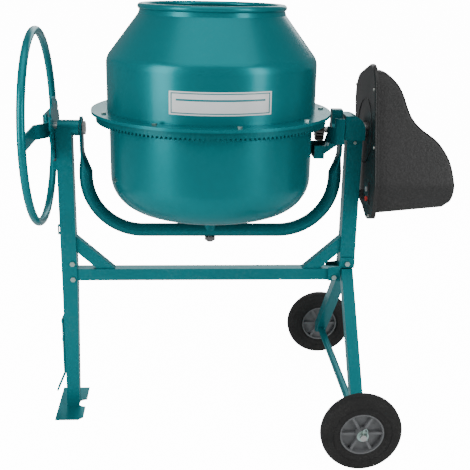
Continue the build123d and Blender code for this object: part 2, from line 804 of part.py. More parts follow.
# ---- drum -------------------------------------------------------------------------------------
def dish_points(inset):
    """Where the lower drum's corner meets its crown, and the crown's lowest point."""
    corner = dish_corner - inset
    middle = lower_radius - dish_corner
    angle = radians(dish_slope)
    join = (middle + corner * sin(angle), dish_height - corner * cos(angle))
    crown_radius = join[0] / sin(angle)
    bottom = join[1] - crown_radius * (1 - cos(angle))
    return join, crown_radius, bottom


drum_bottom = dish_points(0)[2]
flange_top = collar_height - collar_seal
flange_radius = 366.0


def lower_shell(inset, top):
    join, crown_radius, bottom = dish_points(inset)
    radius = lower_radius - inset
    with BuildPart() as shell:
        with BuildSketch(Plane.XZ):
            with BuildLine():
                Line((0, top), (radius, top))
                Line((radius, top), (radius, dish_height))
                RadiusArc((radius, dish_height), join, dish_corner - inset)
                RadiusArc(join, (0, bottom), crown_radius)
                Line((0, bottom), (0, top))
            make_face()
        revolve(axis=Axis.Z)
    return shell.part


def lower_drum():
    shell = lower_shell(0, flange_top) - lower_shell(drum_wall, flange_top + 1)
    flange = tube_z(2 * flange_radius, 2 * lower_radius - 2, flange_top - drum_wall, flange_top)
    shell += flange
    for turn in bolt_turns():
        shell -= turn * rod_z(drum_bolt_size + 1, flange_top - 20, flange_top + 5, drum_bolt_circle)
    for turn in blade_turns:
        shell -= Rot(0, 0, turn) * rod_x(8, lower_radius - 20, lower_radius + 20, 0, blade_bolt_z)
    return shell - rod_z(pivot_shaft, 0, drum_bottom + 30)


def bolt_turns():
    step = 360 / drum_bolts
    return [Rot(0, 0, drum_bolt_turn + step * count) for count in range(drum_bolts)]


def upper_shell(inset):
    """Skirt, cone and neck, without the rolled mouth."""
    slope = atan2(neck_height - shoulder_height, drum_radius - neck_radius)
    pinch = inset * tan((pi / 2 - slope) / 2)
    outline = [(0, collar_height), (drum_radius - inset, collar_height),
               (drum_radius - inset, shoulder_height - pinch),
               (neck_radius - inset, neck_height - pinch),
               (mouth_radius - inset + drum_wall / 2, mouth_height), (0, mouth_height)]
    if inset:
        outline[0] = (0, collar_height - 1)
        outline[1] = (drum_radius - inset, collar_height - 1)
        outline[4] = (outline[4][0], mouth_height + 1)
        outline[5] = (0, mouth_height + 1)
    face = make_face(Polyline(outline, close=True))
    shoulder = [point for point in face.vertices() if abs(point.Y - outline[2][1]) < 0.01]
    face = Plane.XZ * fillet(shoulder, shoulder_round - inset)
    return revolve(face, Axis.Z)


def upper_drum():
    shell = upper_shell(0) - upper_shell(drum_wall)
    ring = Pos(0, 0, mouth_height) * Torus(mouth_radius, mouth_rod / 2)
    return shell - ring


def mouth_ring():
    return Pos(0, 0, mouth_height) * Torus(mouth_radius, mouth_rod / 2)


def drum_collar():
    """A flat ring round the joint, with a lip turned down at its edge."""
    ring = tube_z(2 * collar_radius, 2 * drum_radius, collar_height, collar_height + drum_wall)
    ring += tube_z(2 * collar_radius, 2 * (collar_radius - drum_wall),
                   collar_height + drum_wall - collar_lip, collar_height + drum_wall)
    for turn in bolt_turns():
        ring -= turn * rod_z(drum_bolt_size + 1, collar_height - 5, collar_height + 9,
                             drum_bolt_circle)
    return ring


def drum_seal():
    ring = tube_z(2 * flange_radius - 6, 2 * (lower_radius - 1), flange_top, collar_height)
    for turn in bolt_turns():
        ring -= turn * rod_z(drum_bolt_size + 1, flange_top - 5, collar_height + 5, drum_bolt_circle)
    return ring


nut_depth = 7.0
gear_back = flange_top - drum_wall


def drum_bolt_set():
    bolts = []
    head_seat = collar_height + drum_wall
    for turn in bolt_turns():
        bolt = rod_z(drum_bolt_size, gear_back - nut_depth, head_seat + 1, drum_bolt_circle)
        bolt += Pos(drum_bolt_circle, 0, head_seat) * hexagon(13, 5.3)
        bolts.append(turn * bolt)
    return bolts


def drum_nuts():
    nuts = []
    for turn in bolt_turns():
        nut = Pos(drum_bolt_circle, 0, gear_back - nut_depth + 0.3) * hexagon(13, nut_depth - 0.5)
        nut -= rod_z(drum_bolt_size, gear_back - 20, gear_back + 5, drum_bolt_circle)
        nuts.append(turn * nut)
    return nuts


blade_thickness = 4.0
blade_turns = (-158.0, 22.0)


def blade():
    """A bent steel paddle that stands off the wall, held by a tab at each end."""
    wall = lower_radius - drum_wall
    top_z = shoulder_height + 58.5
    slope = atan2(neck_height - shoulder_height, drum_radius - neck_radius)
    cone_r = drum_radius - (top_z - shoulder_height) / tan(slope) - drum_wall / sin(slope)
    outline = [(wall - 16, blade_bolt_z + 12), (wall - 16, shoulder_height - 33.5),
               (cone_r - 14, top_z - 12), (cone_r - 55, top_z - 16),
               (wall - 110, shoulder_height - 53.5), (wall - 125, collar_height - 82),
               (wall - 60, blade_bolt_z + 14)]
    plate = plate_xz(outline, -blade_thickness / 2, blade_thickness / 2)
    tab = box(wall - 17, wall - 13, -15, 15, blade_bolt_z - 15, blade_bolt_z + 40)
    plate += tab
    return plate


blade_bolt_z = dish_height + 2.0


def mixing_blades():
    blades = []
    for turn in blade_turns:
        piece = blade()
        wall = lower_radius - drum_wall
        piece -= rod_x(8, wall - 40, wall + 20, 0, blade_bolt_z)
        blades.append(Rot(0, 0, turn) * piece)
    return blades


def blade_bolts():
    """One through each tab and the shell, with a spacer between them."""
    bolts = []
    wall = lower_radius - drum_wall
    for turn in blade_turns:
        bolt = rod_x(7.8, wall - 24, lower_radius + 1, 0, blade_bolt_z)
        bolt += rod_x(16, wall - 13, wall - 0.4, 0, blade_bolt_z)
        bolt += hex_x(13, wall - 23, wall - 17, 0, blade_bolt_z)
        bolt += rod_x(16, lower_radius + 0.2, lower_radius + 5, 0, blade_bolt_z)
        bolts.append(Rot(0, 0, turn) * bolt)
    return bolts


def drum_spindle():
    """The drum's own shaft: a boss plate under the dish, the bearing seats and a threaded end."""
    top = drum_bottom + 24
    shaft = rod_z(pivot_shaft, spindle_foot, top)
    plate = rod_z(110, housing_top + 1.5, drum_bottom + 12)
    plate -= lower_shell(0, flange_top)
    shaft += plate
    return shaft


spindle_foot = yoke_floor - yoke_tube / 2 - 18


def spindle_nut():
    top = yoke_floor - yoke_tube / 2 - 0.6
    nut = Pos(0, 0, top - 13) * hexagon(pivot_nut, 13)
    return nut - rod_z(pivot_shaft - 4, 0, top + 5)


# ---- bevel gears: both are scaled from the point where the two axes cross ------------------------
pinion_pitch_radius = ring_pitch_radius * pinion_teeth / ring_teeth
gear_module = 2 * ring_pitch_radius / ring_teeth
addendum = 0.8 * gear_module
tooth_sink = 5.0             # how far a ring tooth reaches into its segment
dedendum = 1.1 * gear_module


def ring_gear():
    """Cast segments with straight teeth on the lower face, tapered towards the apex."""
    segments = []
    pitch_turn = 2 * pi / ring_teeth
    per_segment = ring_teeth // ring_segments
    slope = tan(radians(pressure_angle))
    half_pitch = pi * gear_module / 4 - tooth_backlash / 2
    for segment in range(ring_segments):
        first = segment * per_segment
        trim = segment_gap / 2 / ring_outer
        angles = [(first + step - 0.5) * pitch_turn for step in range(per_segment + 1)]
        angles[0] += trim
        angles[-1] -= trim
        outer = [(ring_outer * cos(a), ring_outer * sin(a)) for a in angles]
        inner = [(ring_inner * cos(a), ring_inner * sin(a)) for a in reversed(angles)]
        root = tilt_height + (pinion_pitch_radius + addendum) * ring_outer / ring_pitch_radius + 1
        body = Pos(0, 0, root) * extrude(make_face(Polyline(outer + inner, close=True)),
                                         gear_back - root)
        teeth = [ring_tooth((first + step) * pitch_turn, half_pitch, slope)
                 for step in range(per_segment)]
        segments.append(body + teeth)
    pockets = [turn * (Pos(drum_bolt_circle, 0, gear_back - nut_depth - 0.5) * hexagon(13.4, 20))
               for turn in bolt_turns()]
    return [segment - pockets for segment in segments]


def ring_tooth(angle, half_pitch, slope):
    """One tooth, as two cross-sections scaled from the apex and joined by flat faces."""
    sections = []
    for radius in (ring_inner + 0.5, ring_outer - 0.5):
        scale = radius / ring_pitch_radius
        tip = (half_pitch - addendum * slope) * scale
        root = (half_pitch + (dedendum + tooth_sink) * slope) * scale
        low = tilt_height + (pinion_pitch_radius - addendum) * scale
        high = tilt_height + (pinion_pitch_radius + dedendum + tooth_sink) * scale
        plane = Plane(origin=(radius * cos(angle), radius * sin(angle), 0),
                      x_dir=(-sin(angle), cos(angle), 0), z_dir=(cos(angle), sin(angle), 0))
        outline = [(-tip, low), (tip, low), (root, high), (-root, high)]
        sections.append(plane * make_face(Polyline(outline, close=True)))
    return loft(sections, ruled=True)


def pinion_outline(scale):
    """Involute flanks drawn as short straight runs."""
    base = pinion_pitch_radius * cos(radians(pressure_angle))
    tip = pinion_pitch_radius + addendum
    root = pinion_pitch_radius - dedendum
    half_tooth = (pi * gear_module / 2 - tooth_backlash) / 2 / pinion_pitch_radius
    pitch_roll = sqrt((pinion_pitch_radius / base) ** 2 - 1)
    pitch_involute = pitch_roll - atan2(pitch_roll, 1)
    flank = []
    for step in range(5):
        radius = base + (tip - base) * step / 4
        roll = sqrt(max((radius / base) ** 2 - 1, 0))
        flank.append((radius, half_tooth + pitch_involute - (roll - atan2(roll, 1))))
    points = []
    for tooth in range(pinion_teeth):
        middle = 2 * pi * (tooth + 0.5) / pinion_teeth
        rising = [(root, middle - flank[0][1])] + [(r, middle - turn) for r, turn in flank]
        falling = [(r, middle + turn) for r, turn in reversed(flank)] + [(root, middle + flank[0][1])]
        points += [(r * scale * cos(a), r * scale * sin(a)) for r, a in rising + falling]
    return points


pinion_from = 334.5
pinion_to = 360.0
pinion_phase = 0.0


def pinion():
    sections = []
    for x in (pinion_from, pinion_to):
        plane = Plane(origin=(x, 0, tilt_height), x_dir=(0, 0, 1), z_dir=(1, 0, 0))
        outline = pinion_outline(x / ring_pitch_radius)
        sections.append(plane * make_face(Polyline(outline, close=True)))
    gear = loft(sections, ruled=True)
    gear = Pos(0, 0, tilt_height) * Rot(pinion_phase, 0, 0) * Pos(0, 0, -tilt_height) * gear
    return gear - rod_x(drive_shaft_size, 300, 400, 0, tilt_height)


# ---- right tilt bearing, drive shaft and pinion bracket ------------------------------------------
right_bearing_from = yoke_right_flat_x + yoke_flat / 2 + 6
right_bearing_to = right_post_x + post_size / 2 - 4
right_bush_size = right_bearing_size - 6


def right_bearing_tube():
    return tube_x(right_bearing_size, right_bush_size, right_bearing_from, right_bearing_to,
                  0, tilt_height)


def right_bush():
    return tube_x(right_bush_size, trunnion_tube + 2 * running_fit, right_bearing_from,
                  right_bearing_to, 0, tilt_height)


shaft_bearing_width = 12.0
trunnion_from = yoke_right_flat_x - yoke_flat / 2 - 12
trunnion_to = housing_face_x + shell_wall + 10
motor_plate_thickness = 5.0
motor_plate_x = housing_face_x + shell_wall


def right_trunnion():
    """The hollow trunnion: the drive shaft runs inside it on two ball bearings."""
    tube = tube_x(trunnion_tube, trunnion_bore, trunnion_from, trunnion_to, 0, tilt_height)
    return tube


def shaft_bearing_spots():
    return (trunnion_from + 3, trunnion_to - 3 - shaft_bearing_width)


def shaft_races(make):
    sizes = (trunnion_bore, drive_shaft_size, shaft_bearing_width)
    return [Pos(x, 0, tilt_height) * Rot(0, 90, 0) * make(*sizes) for x in shaft_bearing_spots()]


def shaft_cages():
    sizes = (trunnion_bore, drive_shaft_size, shaft_bearing_width)
    return [Pos(x, 0, tilt_height) * Rot(0, 90, 0) * race_balls(*sizes, 8)
            for x in shaft_bearing_spots()]


def drive_shaft():
    return rod_x(drive_shaft_size, pinion_from - 4, pulley_x + pulley_width / 2 + 10, 0, tilt_height)


bracket_from = 384.0
boss_size = 58.0
bracket_post = 36.0
bracket_top = tilt_height + 67.0


tray_low = tilt_height - 86.0
tray_right = 360.5
tray_half = 44.0
tray_wall = 5.0


def pinion_bracket():
    """A cast bracket on the yoke: a boss round the trunnion, a post above it and a tray under it."""
    right = yoke_right_flat_x - yoke_flat / 2
    body = rod_x(boss_size, bracket_from, right, 0, tilt_height)
    body += box(bracket_from, right, -bracket_post / 2, bracket_post / 2, tilt_height, bracket_top)
    body += box(bracket_from, right + 6, -bracket_post / 2, bracket_post / 2, yoke_tip + 2,
                bracket_top)
    left = pinion_from - 6
    tray = plate_xz([(left, tray_low), (tray_right, tray_low), (tray_right, tray_low + 16),
                     (right, tray_low + 53), (right, tilt_height - 8), (bracket_from, tilt_height - 8),
                     (tray_right + 12, tilt_height - 44), (left, tilt_height - 44)],
                    -tray_half, tray_half)
    inner = tray_half - tray_wall
    tray -= plate_xz([(left - 10, tray_low + 6), (tray_right - 4, tray_low + 6),
                      (tray_right - 4, tray_low + 20), (bracket_from - 2, tray_low + 45),
                      (bracket_from - 2, tilt_height), (left - 10, tilt_height)], -inner, inner)
    body += tray
    body -= rod_x(trunnion_tube, trunnion_from, right + 1, 0, tilt_height)
    return body - rod_x(drive_shaft_size + 3, bracket_from - 90, right, 0, tilt_height)


guard_low = tilt_height - 30.0
guard_high = tilt_height + 50.0
guard_step = tilt_height + 21.0  # top of the guard's lower, outer part
guard_bend = 47.0
guard_side = -92.0


def pinion_guard():
    """A sheet bent to a quarter round in front of the pinion, welded to the bracket's side."""
    right = yoke_right_flat_x - yoke_flat / 2
    start = guard_side + guard_bend
    ring = tube_z(2 * guard_bend, 2 * (guard_bend - sheet), guard_low, guard_high, right, start)
    guard = ring & box(right - guard_bend - 1, right, guard_side - 1, start, guard_low, guard_high)
    edge = right - guard_bend
    guard += box(edge, edge + sheet, start - 1, -tray_half, tray_low + 22, guard_low + 20)
    return guard - box(right - guard_bend - 5, right - guard_bend * 0.62, guard_side - 5, start + 5,
                       guard_step, guard_high + 5)


hood_middle = right_post_x - 5
hood_left = hood_middle - hood_width / 2
hood_right = hood_middle + hood_width / 2


def bearing_hood():
    """A folded cap over the right bearing, open below, with a hole each side for the trunnion."""
    outline = box(hood_left, hood_right, -hood_depth / 2, hood_depth / 2, hood_bottom, hood_top)
    top = outline.edges().filter_by(Axis.Y).sort_by(Axis.Z)[-2:].sort_by(Axis.X)
    outline = fillet(top[-1], hood_round)
    inner = box(hood_left + sheet, hood_right - sheet, -hood_depth / 2 + sheet,
                hood_depth / 2 - sheet, hood_bottom - 1, hood_top - sheet)
    top = inner.edges().filter_by(Axis.Y).sort_by(Axis.Z)[-2:].sort_by(Axis.X)
    inner = fillet(top[-1], hood_round - sheet)
    hood = outline - inner
    hood -= rod_x(right_bearing_size + 1, hood_left - 5, hood_right + 5, 0, tilt_height)
    return hood - box(hood_left - 5, hood_right + 5, -post_size / 2 - 0.5, post_size / 2 + 0.5,
                      hood_bottom - 5, tilt_height)


def hood_bolts():
    return [frame_bolt(right_post_x, height, post_size / 2, 6) for height in hood_bolt_heights]


# ---- motor housing ----------------------------------------------------------------------------
def housing_prism(inset, x0, x1):
    """Square over the large pulley, straight down the sides and drawn in to one side at the foot."""
    half = back_half_width - inset
    top = tilt_height + back_top - inset
    low = tilt_height - back_bottom + inset
    waist = tilt_height - back_waist
    outline = [(-half, waist), (-half, top), (half, top), (half, waist), (half * 0.28, low + 42),
               (-half * 0.1, low), (-half * 0.68, low)]
    prism = Pos(x0, 0, 0) * extrude(Plane.YZ * make_face(Polyline(outline, close=True)), x1 - x0)
    rails = prism.edges().filter_by(Axis.X).sort_by(Axis.Z)
    prism = fillet(rails[-2:], back_round - inset)
    rails = prism.edges().filter_by(Axis.X).sort_by(Axis.Z)
    prism = fillet(rails[:3], foot_round)
    waist_edges = [edge for edge in prism.edges().filter_by(Axis.X)
                   if abs(edge.center().Z - waist) < 0.1]
    return fillet(waist_edges, waist_round)


def motor_back():
    """Back shell: a flat face towards the post, a rim and a hole for the trunnion."""
    shell = housing_prism(0, housing_face_x, housing_face_x + back_depth)
    face = shell.faces().sort_by(Axis.X)[0]
    shell = fillet(face.edges(), 7)
    shell += tube_x(back_ring, back_ring - 9, housing_face_x - 2, housing_face_x + 1, 0, tilt_height)
    shell -= housing_prism(shell_wall, housing_face_x + shell_wall, housing_face_x + back_depth + 1)
    shell -= rod_x(trunnion_tube + 1, housing_face_x - 5, housing_face_x + 10, 0, tilt_height)
    for y, z in back_screw_spots():
        shell -= rod_x(5, housing_face_x - 5, housing_face_x + 10, y, z)
    drop = tilt_height - switch_drop
    hole = box(housing_face_x - 5, housing_face_x + 10, switch_side - switch_width / 2 + 4,
               switch_side + switch_width / 2 - 4, drop - switch_height / 2 + 4,
               drop + switch_height / 2 - 4)
    return shell - hole


def back_screw_spots():
    """Across and above the tilt axis, round the edge of the back shell."""
    spots = ((114, 167), (-136, 108), (136, 40), (-136, -70), (136, -130), (-60, -276.5))
    return [(y, tilt_height + z) for y, z in spots]


def inward(points, amount):
    """Points of a curve moved to its right-hand side, square to the curve."""
    moved = []
    for count, (x, z) in enumerate(points):
        before = points[max(count - 1, 0)]
        after = points[min(count + 1, len(points) - 1)]
        run = after[0] - before[0]
        drop = after[1] - before[1]
        size = sqrt(run * run + drop * drop)
        moved.append((x + amount * drop / size, z - amount * run / size))
    return moved


def cover_body(inset):
    """The cover's outer form, shallow over the pulley and deep round the motor, or its hollow."""
    left = housing_face_x + back_depth
    top = tilt_height + back_top - cover_inset - inset
    low = tilt_height - back_bottom + cover_inset + inset
    curve = [(x, tilt_height + z) for x, z in cover_curve]
    curve = inward(curve, inset)
    curve[0] = (curve[0][0], top)
    curve[-1] = (curve[-1][0], low + cover_rise)
    with BuildSketch(Plane.XZ) as profile:
        with BuildLine():
            Polyline((curve[-1]), (left - inset, low), (left - inset, top), curve[0])
            Spline(*curve, tangents=((1, -0.9), (-1, -1)))
        make_face()
    solid = extrude(profile.sketch, back_half_width, both=True)
    return solid & housing_prism(cover_inset + inset, left - inset, cover_outer_x + 10)


def motor_cover():
    left = housing_face_x + back_depth
    outer = cover_body(0)
    rims = outer.edges().filter_by(lambda edge: edge.center().X > left + 15)
    rims = [edge for edge in rims if abs((edge @ 0).X - (edge @ 1).X) < 200]
    outer = fillet(rims, cover_round)
    shell = outer - cover_body(shell_wall)
    flange = housing_prism(0, left, left + shell_wall)
    flange -= housing_prism(cover_inset + shell_wall, left - 1, left + shell_wall + 1)
    for y, z in back_screw_spots():
        flange -= rod_x(5, left - 1, left + shell_wall + 1, y, z)
    return shell + flange


def back_screws():
    screws = []
    for y, z in back_screw_spots():
        screw = rod_x(4.8, housing_face_x - 1, housing_face_x + 14, y, z)
        screw += rod_x(9, housing_face_x - 3.5, housing_face_x, y, z)
        screws.append(screw)
    return screws


def motor_plate():
    """The steel plate that carries the housing and the motor, welded to the trunnion."""
    plate = box(motor_plate_x, motor_plate_x + motor_plate_thickness, -112, 106,
                tilt_height - 250, tilt_height + 60)
    plate = plate & housing_prism(cover_inset + 5, motor_plate_x - 5, motor_plate_x + 20)
    plate -= rod_x(trunnion_tube, 400, 600, 0, tilt_height)
    drop = tilt_height - switch_drop
    plate -= box(400, 600, switch_side - switch_width / 2, switch_side + switch_width / 2,
                 drop - switch_height / 2, drop + switch_height / 2)
    for y, z in back_screw_spots():
        plate -= rod_x(5, 400, 600, y, z)
    return plate


# ---- belt drive and motor -----------------------------------------------------------------------
motor_z = tilt_height - motor_drop
stud_spots = ((-82, motor_z + 50), (98, motor_z + 50), (-58, motor_z - 44))
stud_size = 12.0
bracket_x = motor_from_x - 6


def pulley(radius, bore, x, z, ribs, web):
    """A ribbed-belt pulley with a hub, a thin web and round lightening holes."""
    half = pulley_width / 2
    body = rod_x(2 * radius, x - half, x + half, 0, z)
    if web:
        body -= tube_x(2 * (radius - 9), 2 * 26, x - half - 1, x - 3, 0, z)
        body -= tube_x(2 * (radius - 9), 2 * 26, x + 3, x + half + 1, 0, z)
        for turn in range(6):
            hole = rod_x(38, x - 5, x + 5, 0, z + (radius + 20) / 2)
            body -= Pos(0, 0, z) * Rot(60 * turn, 0, 0) * Pos(0, 0, -z) * hole
    for rib in range(ribs):
        spot = x - half + pulley_width * (rib + 0.5) / ribs
        body -= tube_x(2 * radius + 4, 2 * (radius - 1.2), spot - 0.7, spot + 0.7, 0, z)
    return body - rod_x(bore, x - half - 1, x + half + 1, 0, z)


def large_pulley():
    return pulley(large_pulley_radius, drive_shaft_size, pulley_x, tilt_height, 4, True)


def motor_pulley():
    return pulley(small_pulley_radius, motor_shaft_size, pulley_x, motor_z, 4, False)


def drive_belt():
    """A closed loop round both pulleys, with straight runs tangent to them."""
    gap = 0.35
    loops = []
    for extra in (gap + belt_thickness, gap):
        big = large_pulley_radius + extra
        small = small_pulley_radius + extra
        lean_angle = asin((big - small) / motor_drop)
        big_y, big_z = big * cos(lean_angle), tilt_height - big * sin(lean_angle)
        small_y, small_z = small * cos(lean_angle), motor_z - small * sin(lean_angle)
        with BuildSketch(Plane.YZ) as sketch:
            with BuildLine():
                Line((big_y, big_z), (small_y, small_z))
                ThreePointArc((small_y, small_z), (0, motor_z - small), (-small_y, small_z))
                Line((-small_y, small_z), (-big_y, big_z))
                ThreePointArc((-big_y, big_z), (0, tilt_height + big), (big_y, big_z))
            make_face()
        loops.append(sketch.sketch)
    width = pulley_width - 4
    return Pos(pulley_x - width / 2, 0, 0) * extrude(loops[0] - loops[1], width)


def motor_housing():
    """The motor's finned shell, open at its fan end, with a bearing seat at the drive end."""
    shell = tube_x(2 * motor_radius, 2 * (motor_radius - 5), motor_from_x, motor_to_x, 0, motor_z)
    end = rod_x(2 * motor_radius, motor_from_x, motor_from_x + 8, 0, motor_z)
    shell += end
    seat = rod_x(36, motor_from_x, motor_from_x + 18, 0, motor_z)
    shell += seat
    rear = rod_x(2 * motor_radius - 6, motor_to_x - 34, motor_to_x - 28, 0, motor_z)
    shell += rear
    shell -= rod_x(motor_shaft_size + 2 * running_fit, motor_from_x - 5, motor_to_x - 20, 0, motor_z)
    for turn in range(10):
        fin = box(motor_from_x + 20, motor_to_x - 36, -1.5, 1.5, motor_z + motor_radius - 1,
                  motor_z + motor_radius + 4)
        shell += Pos(0, 0, motor_z) * Rot(36 * turn + 18, 0, 0) * Pos(0, 0, -motor_z) * fin
    return shell


def motor_stator():
    return tube_x(2 * (motor_radius - 5) - 0.2, 2 * 36, motor_from_x + 30, motor_to_x - 44, 0, motor_z)


def motor_rotor():
    shaft = rod_x(motor_shaft_size, pulley_x - pulley_width / 2 - 4, motor_to_x - 6, 0, motor_z)
    return shaft + rod_x(70, motor_from_x + 34, motor_to_x - 48, 0, motor_z)


def motor_fan():
    x0, x1 = motor_to_x - 24, motor_to_x - 8
    fan = rod_x(30, x0, x1, 0, motor_z)
    fan += rod_x(104, x0, x0 + 2, 0, motor_z)
    for turn in range(8):
        vane = box(x0, x1, -1, 1, motor_z + 12, motor_z + 52)
        fan += Pos(0, 0, motor_z) * Rot(45 * turn, 0, 0) * Pos(0, 0, -motor_z) * vane
    return fan - rod_x(motor_shaft_size, x0 - 1, x1 + 1, 0, motor_z)


def motor_bracket():
    """The end plate the motor bolts to, held off the steel plate by three studs."""
    outline = [(-94, motor_z + 62), (110, motor_z + 62), (110, motor_z + 38), (56, motor_z - 20),
               (30, motor_z - 60), (-30, motor_z - 62), (-70, motor_z - 54), (-94, motor_z + 20)]
    plate = Pos(bracket_x, 0, 0) * extrude(Plane.YZ * make_face(Polyline(outline, close=True)),
                                          motor_from_x - bracket_x)
    plate -= rod_x(40, bracket_x - 1, motor_from_x + 1, 0, motor_z)
    for y, z in stud_spots:
        plate -= rod_x(8, bracket_x - 1, motor_from_x + 1, y, z)
    return plate


def motor_studs():
    studs = []
    plate_face = motor_plate_x + motor_plate_thickness
    for y, z in stud_spots:
        stud = rod_x(stud_size, plate_face, bracket_x, y, z)
        stud += rod_x(8, bracket_x - 1, motor_from_x + 10, y, z)
        stud += hex_x(13, motor_from_x, motor_from_x + 6.5, y, z)
        studs.append(stud)
    return studs


def capacitor():
    can_z = motor_z + motor_radius + 4 + 20
    can = rod_x(34, motor_from_x + 30, motor_from_x + 108, 0, can_z)
    saddle = box(motor_from_x + 50, motor_from_x + 88, -12, 12, motor_z + motor_radius - 1, can_z)
    saddle -= rod_x(2 * motor_radius, motor_from_x, motor_to_x, 0, motor_z)
    return can + saddle


# ---- switch -----------------------------------------------------------------------------------
switch_z = tilt_height - switch_drop
button_spots = (switch_z + 15, switch_z - 15)
switch_front = housing_face_x - 3.0


def switch_body():
    """A sealed switch box let into the back shell, with two wells for its buttons."""
    front = switch_front
    flange = box(front, housing_face_x, switch_side - switch_width / 2 - 3,
                 switch_side + switch_width / 2 + 3, switch_z - switch_height / 2 - 3,
                 switch_z + switch_height / 2 + 3)
    body = box(housing_face_x - 1, housing_face_x + switch_depth,
               switch_side - switch_width / 2 + 4.4, switch_side + switch_width / 2 - 4.4,
               switch_z - switch_height / 2 + 4.4, switch_z + switch_height / 2 - 4.4)
    whole = flange + body
    for height in button_spots:
        whole -= rod_x(button_size + 0.8, front - 1, front + 12, switch_side, height)
    return whole


def button(height, proud):
    """A round button with a guide stem; it runs in its well."""
    x = switch_front
    return rod_x(button_size, x - proud, x + 12 - button_travel - 1.5, switch_side, height)


def power_inlet():
    """The recessed inlet for the mains lead, below the switch."""
    z = tilt_height - inlet_drop
    y = inlet_side
    collar = rod_x(30, housing_face_x - 8, housing_face_x, y, z)
    collar -= rod_x(22, housing_face_x - 9, housing_face_x - 1.5, y, z)
    for turn in range(3):
        pin = rod_x(3, housing_face_x - 7, housing_face_x - 1, y, z + 6)
        collar += Pos(0, y, z) * Rot(120 * turn, 0, 0) * Pos(0, -y, -z) * pin
    return collar


def build():
    os.makedirs("parts", exist_ok=True)
    pieces = {
        "foot_plate": [foot_plate()],
        "left_leg": [left_leg()],
        "left_upright": [left_upright()],
        "right_upright": [right_upright()],
        "joint_plates": [left_sleeve(), corner_bracket()],
        "cross_rail": [cross_rail()],
        "corner_braces": [brace(rail_from, 1), brace(rail_to, -1)],
        "frame_bolts": frame_bolts() + hood_bolts(),
        "wheel_legs": [wheel_leg(-1), wheel_leg(1), axle_tube()],
        "axle": [axle()],
        "front_tyre": [tyre(-1)],
        "rear_tyre": [tyre(1)],
        "front_rim": [rim(-1)],
        "rear_rim": [rim(1)],
        "wheel_retainers": wheel_washers() + [wheel_clip(-1), wheel_clip(1)],
        "tilt_bearings": [left_bearing_tube(), left_bush(), right_bearing_tube(), right_bush()],
        "trunnions": [left_trunnion(), left_trunnion_nut(), right_trunnion()],
        "lock_disc": [lock_disc()],
        "handwheel_ring": [handwheel_ring()],
        "handwheel_spoke": [handwheel_spoke(), handwheel_hub(), hub_pin()],
        "lock_rod": [lock_rod(), spring_collar()],
        "lock_plunger": [lock_plunger()],
        "lock_guides": [lock_guide(), spring_seat_plate(), post_hook()],
        "lock_pedal": [pedal()] + pedal_bolts(),
        "lock_spring": [lock_spring()],
        "yoke": [yoke()],
        "pivot_housing": [pivot_housing_piece()],
        "bearing_outer_rings": pivot_races(outer_race) + shaft_races(outer_race),
        "bearing_cages": pivot_cages() + shaft_cages(),
        "pivot_inner_rings": pivot_races(inner_race),
        "shaft_inner_rings": shaft_races(inner_race),
        "lower_drum": [lower_drum()],
        "upper_drum": [upper_drum(), mouth_ring()],
        "drum_collar": [drum_collar()],
        "drum_seal": [drum_seal()],
        "drum_fasteners": drum_bolt_set() + drum_nuts() + blade_bolts(),
        "mixing_blades": mixing_blades(),
        "drum_spindle": [drum_spindle(), spindle_nut()],
        "ring_gear": ring_gear(),
        "pinion": [pinion()],
        "drive_shaft": [drive_shaft()],
        "bearing_hood": [bearing_hood()],
        "pinion_bracket": [pinion_bracket()],
        "pinion_guard": [pinion_guard()],
        "motor_back": [lean(motor_back())],
        "motor_cover": [lean(motor_cover())],
        "motor_plates": [lean(motor_plate()), lean(motor_bracket(), motor_lean)],
        "housing_fasteners": ([lean(screw) for screw in back_screws()]
                              + [lean(stud, motor_lean) for stud in motor_studs()]),
        "large_pulley": [lean(large_pulley())],
        "motor_pulley": [lean(motor_pulley(), motor_lean)],
        "drive_belt": [lean(drive_belt(), motor_lean)],
        "motor_housing": [lean(motor_housing(), motor_lean)],
        "motor_stator": [lean(motor_stator(), motor_lean)],
        "motor_rotor": [lean(motor_rotor(), motor_lean)],
        "motor_fan": [lean(motor_fan(), motor_lean)],
        "capacitor": [lean(capacitor(), motor_lean)],
        "switch_body": [lean(switch_body())],
        "on_button": [lean(button(button_spots[0], on_button_proud))],
        "off_button": [lean(button(button_spots[1], off_button_proud))],
        "power_inlet": [lean(power_inlet())],
    }
    for name, solids in pieces.items():
        save(name, *solids)


build()
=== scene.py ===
from math import cos, radians, sin

import bmesh
import bpy
from bpy.props import FloatProperty, FloatVectorProperty, PointerProperty
from mathutils import Matrix, Vector


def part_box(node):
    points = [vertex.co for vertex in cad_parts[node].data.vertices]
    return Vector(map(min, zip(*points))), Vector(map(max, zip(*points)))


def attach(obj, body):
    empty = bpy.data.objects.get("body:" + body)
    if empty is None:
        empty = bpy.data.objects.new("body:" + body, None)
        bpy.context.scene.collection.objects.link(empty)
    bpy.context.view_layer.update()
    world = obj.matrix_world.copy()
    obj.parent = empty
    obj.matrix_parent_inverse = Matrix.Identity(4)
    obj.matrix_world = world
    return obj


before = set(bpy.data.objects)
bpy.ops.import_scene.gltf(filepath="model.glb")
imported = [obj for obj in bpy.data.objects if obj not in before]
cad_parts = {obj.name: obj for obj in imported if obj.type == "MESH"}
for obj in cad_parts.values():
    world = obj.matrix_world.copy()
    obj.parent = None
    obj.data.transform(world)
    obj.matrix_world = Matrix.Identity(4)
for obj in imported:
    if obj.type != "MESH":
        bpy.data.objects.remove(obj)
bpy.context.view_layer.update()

CAMERA_PITCH = radians(17.836)
CAMERA_YAW = radians(3.863)
CAMERA_ROLL = radians(1.188)
CAMERA_ASIDE = -0.091        # from the drum's axis, along X
CAMERA_BACK = -2.583         # along Y
CAMERA_HEIGHT = 1.457
CAMERA_LENS = 62.59404       # mm, on a sensor 36 mm wide
CAMERA_SENSOR = 36.0
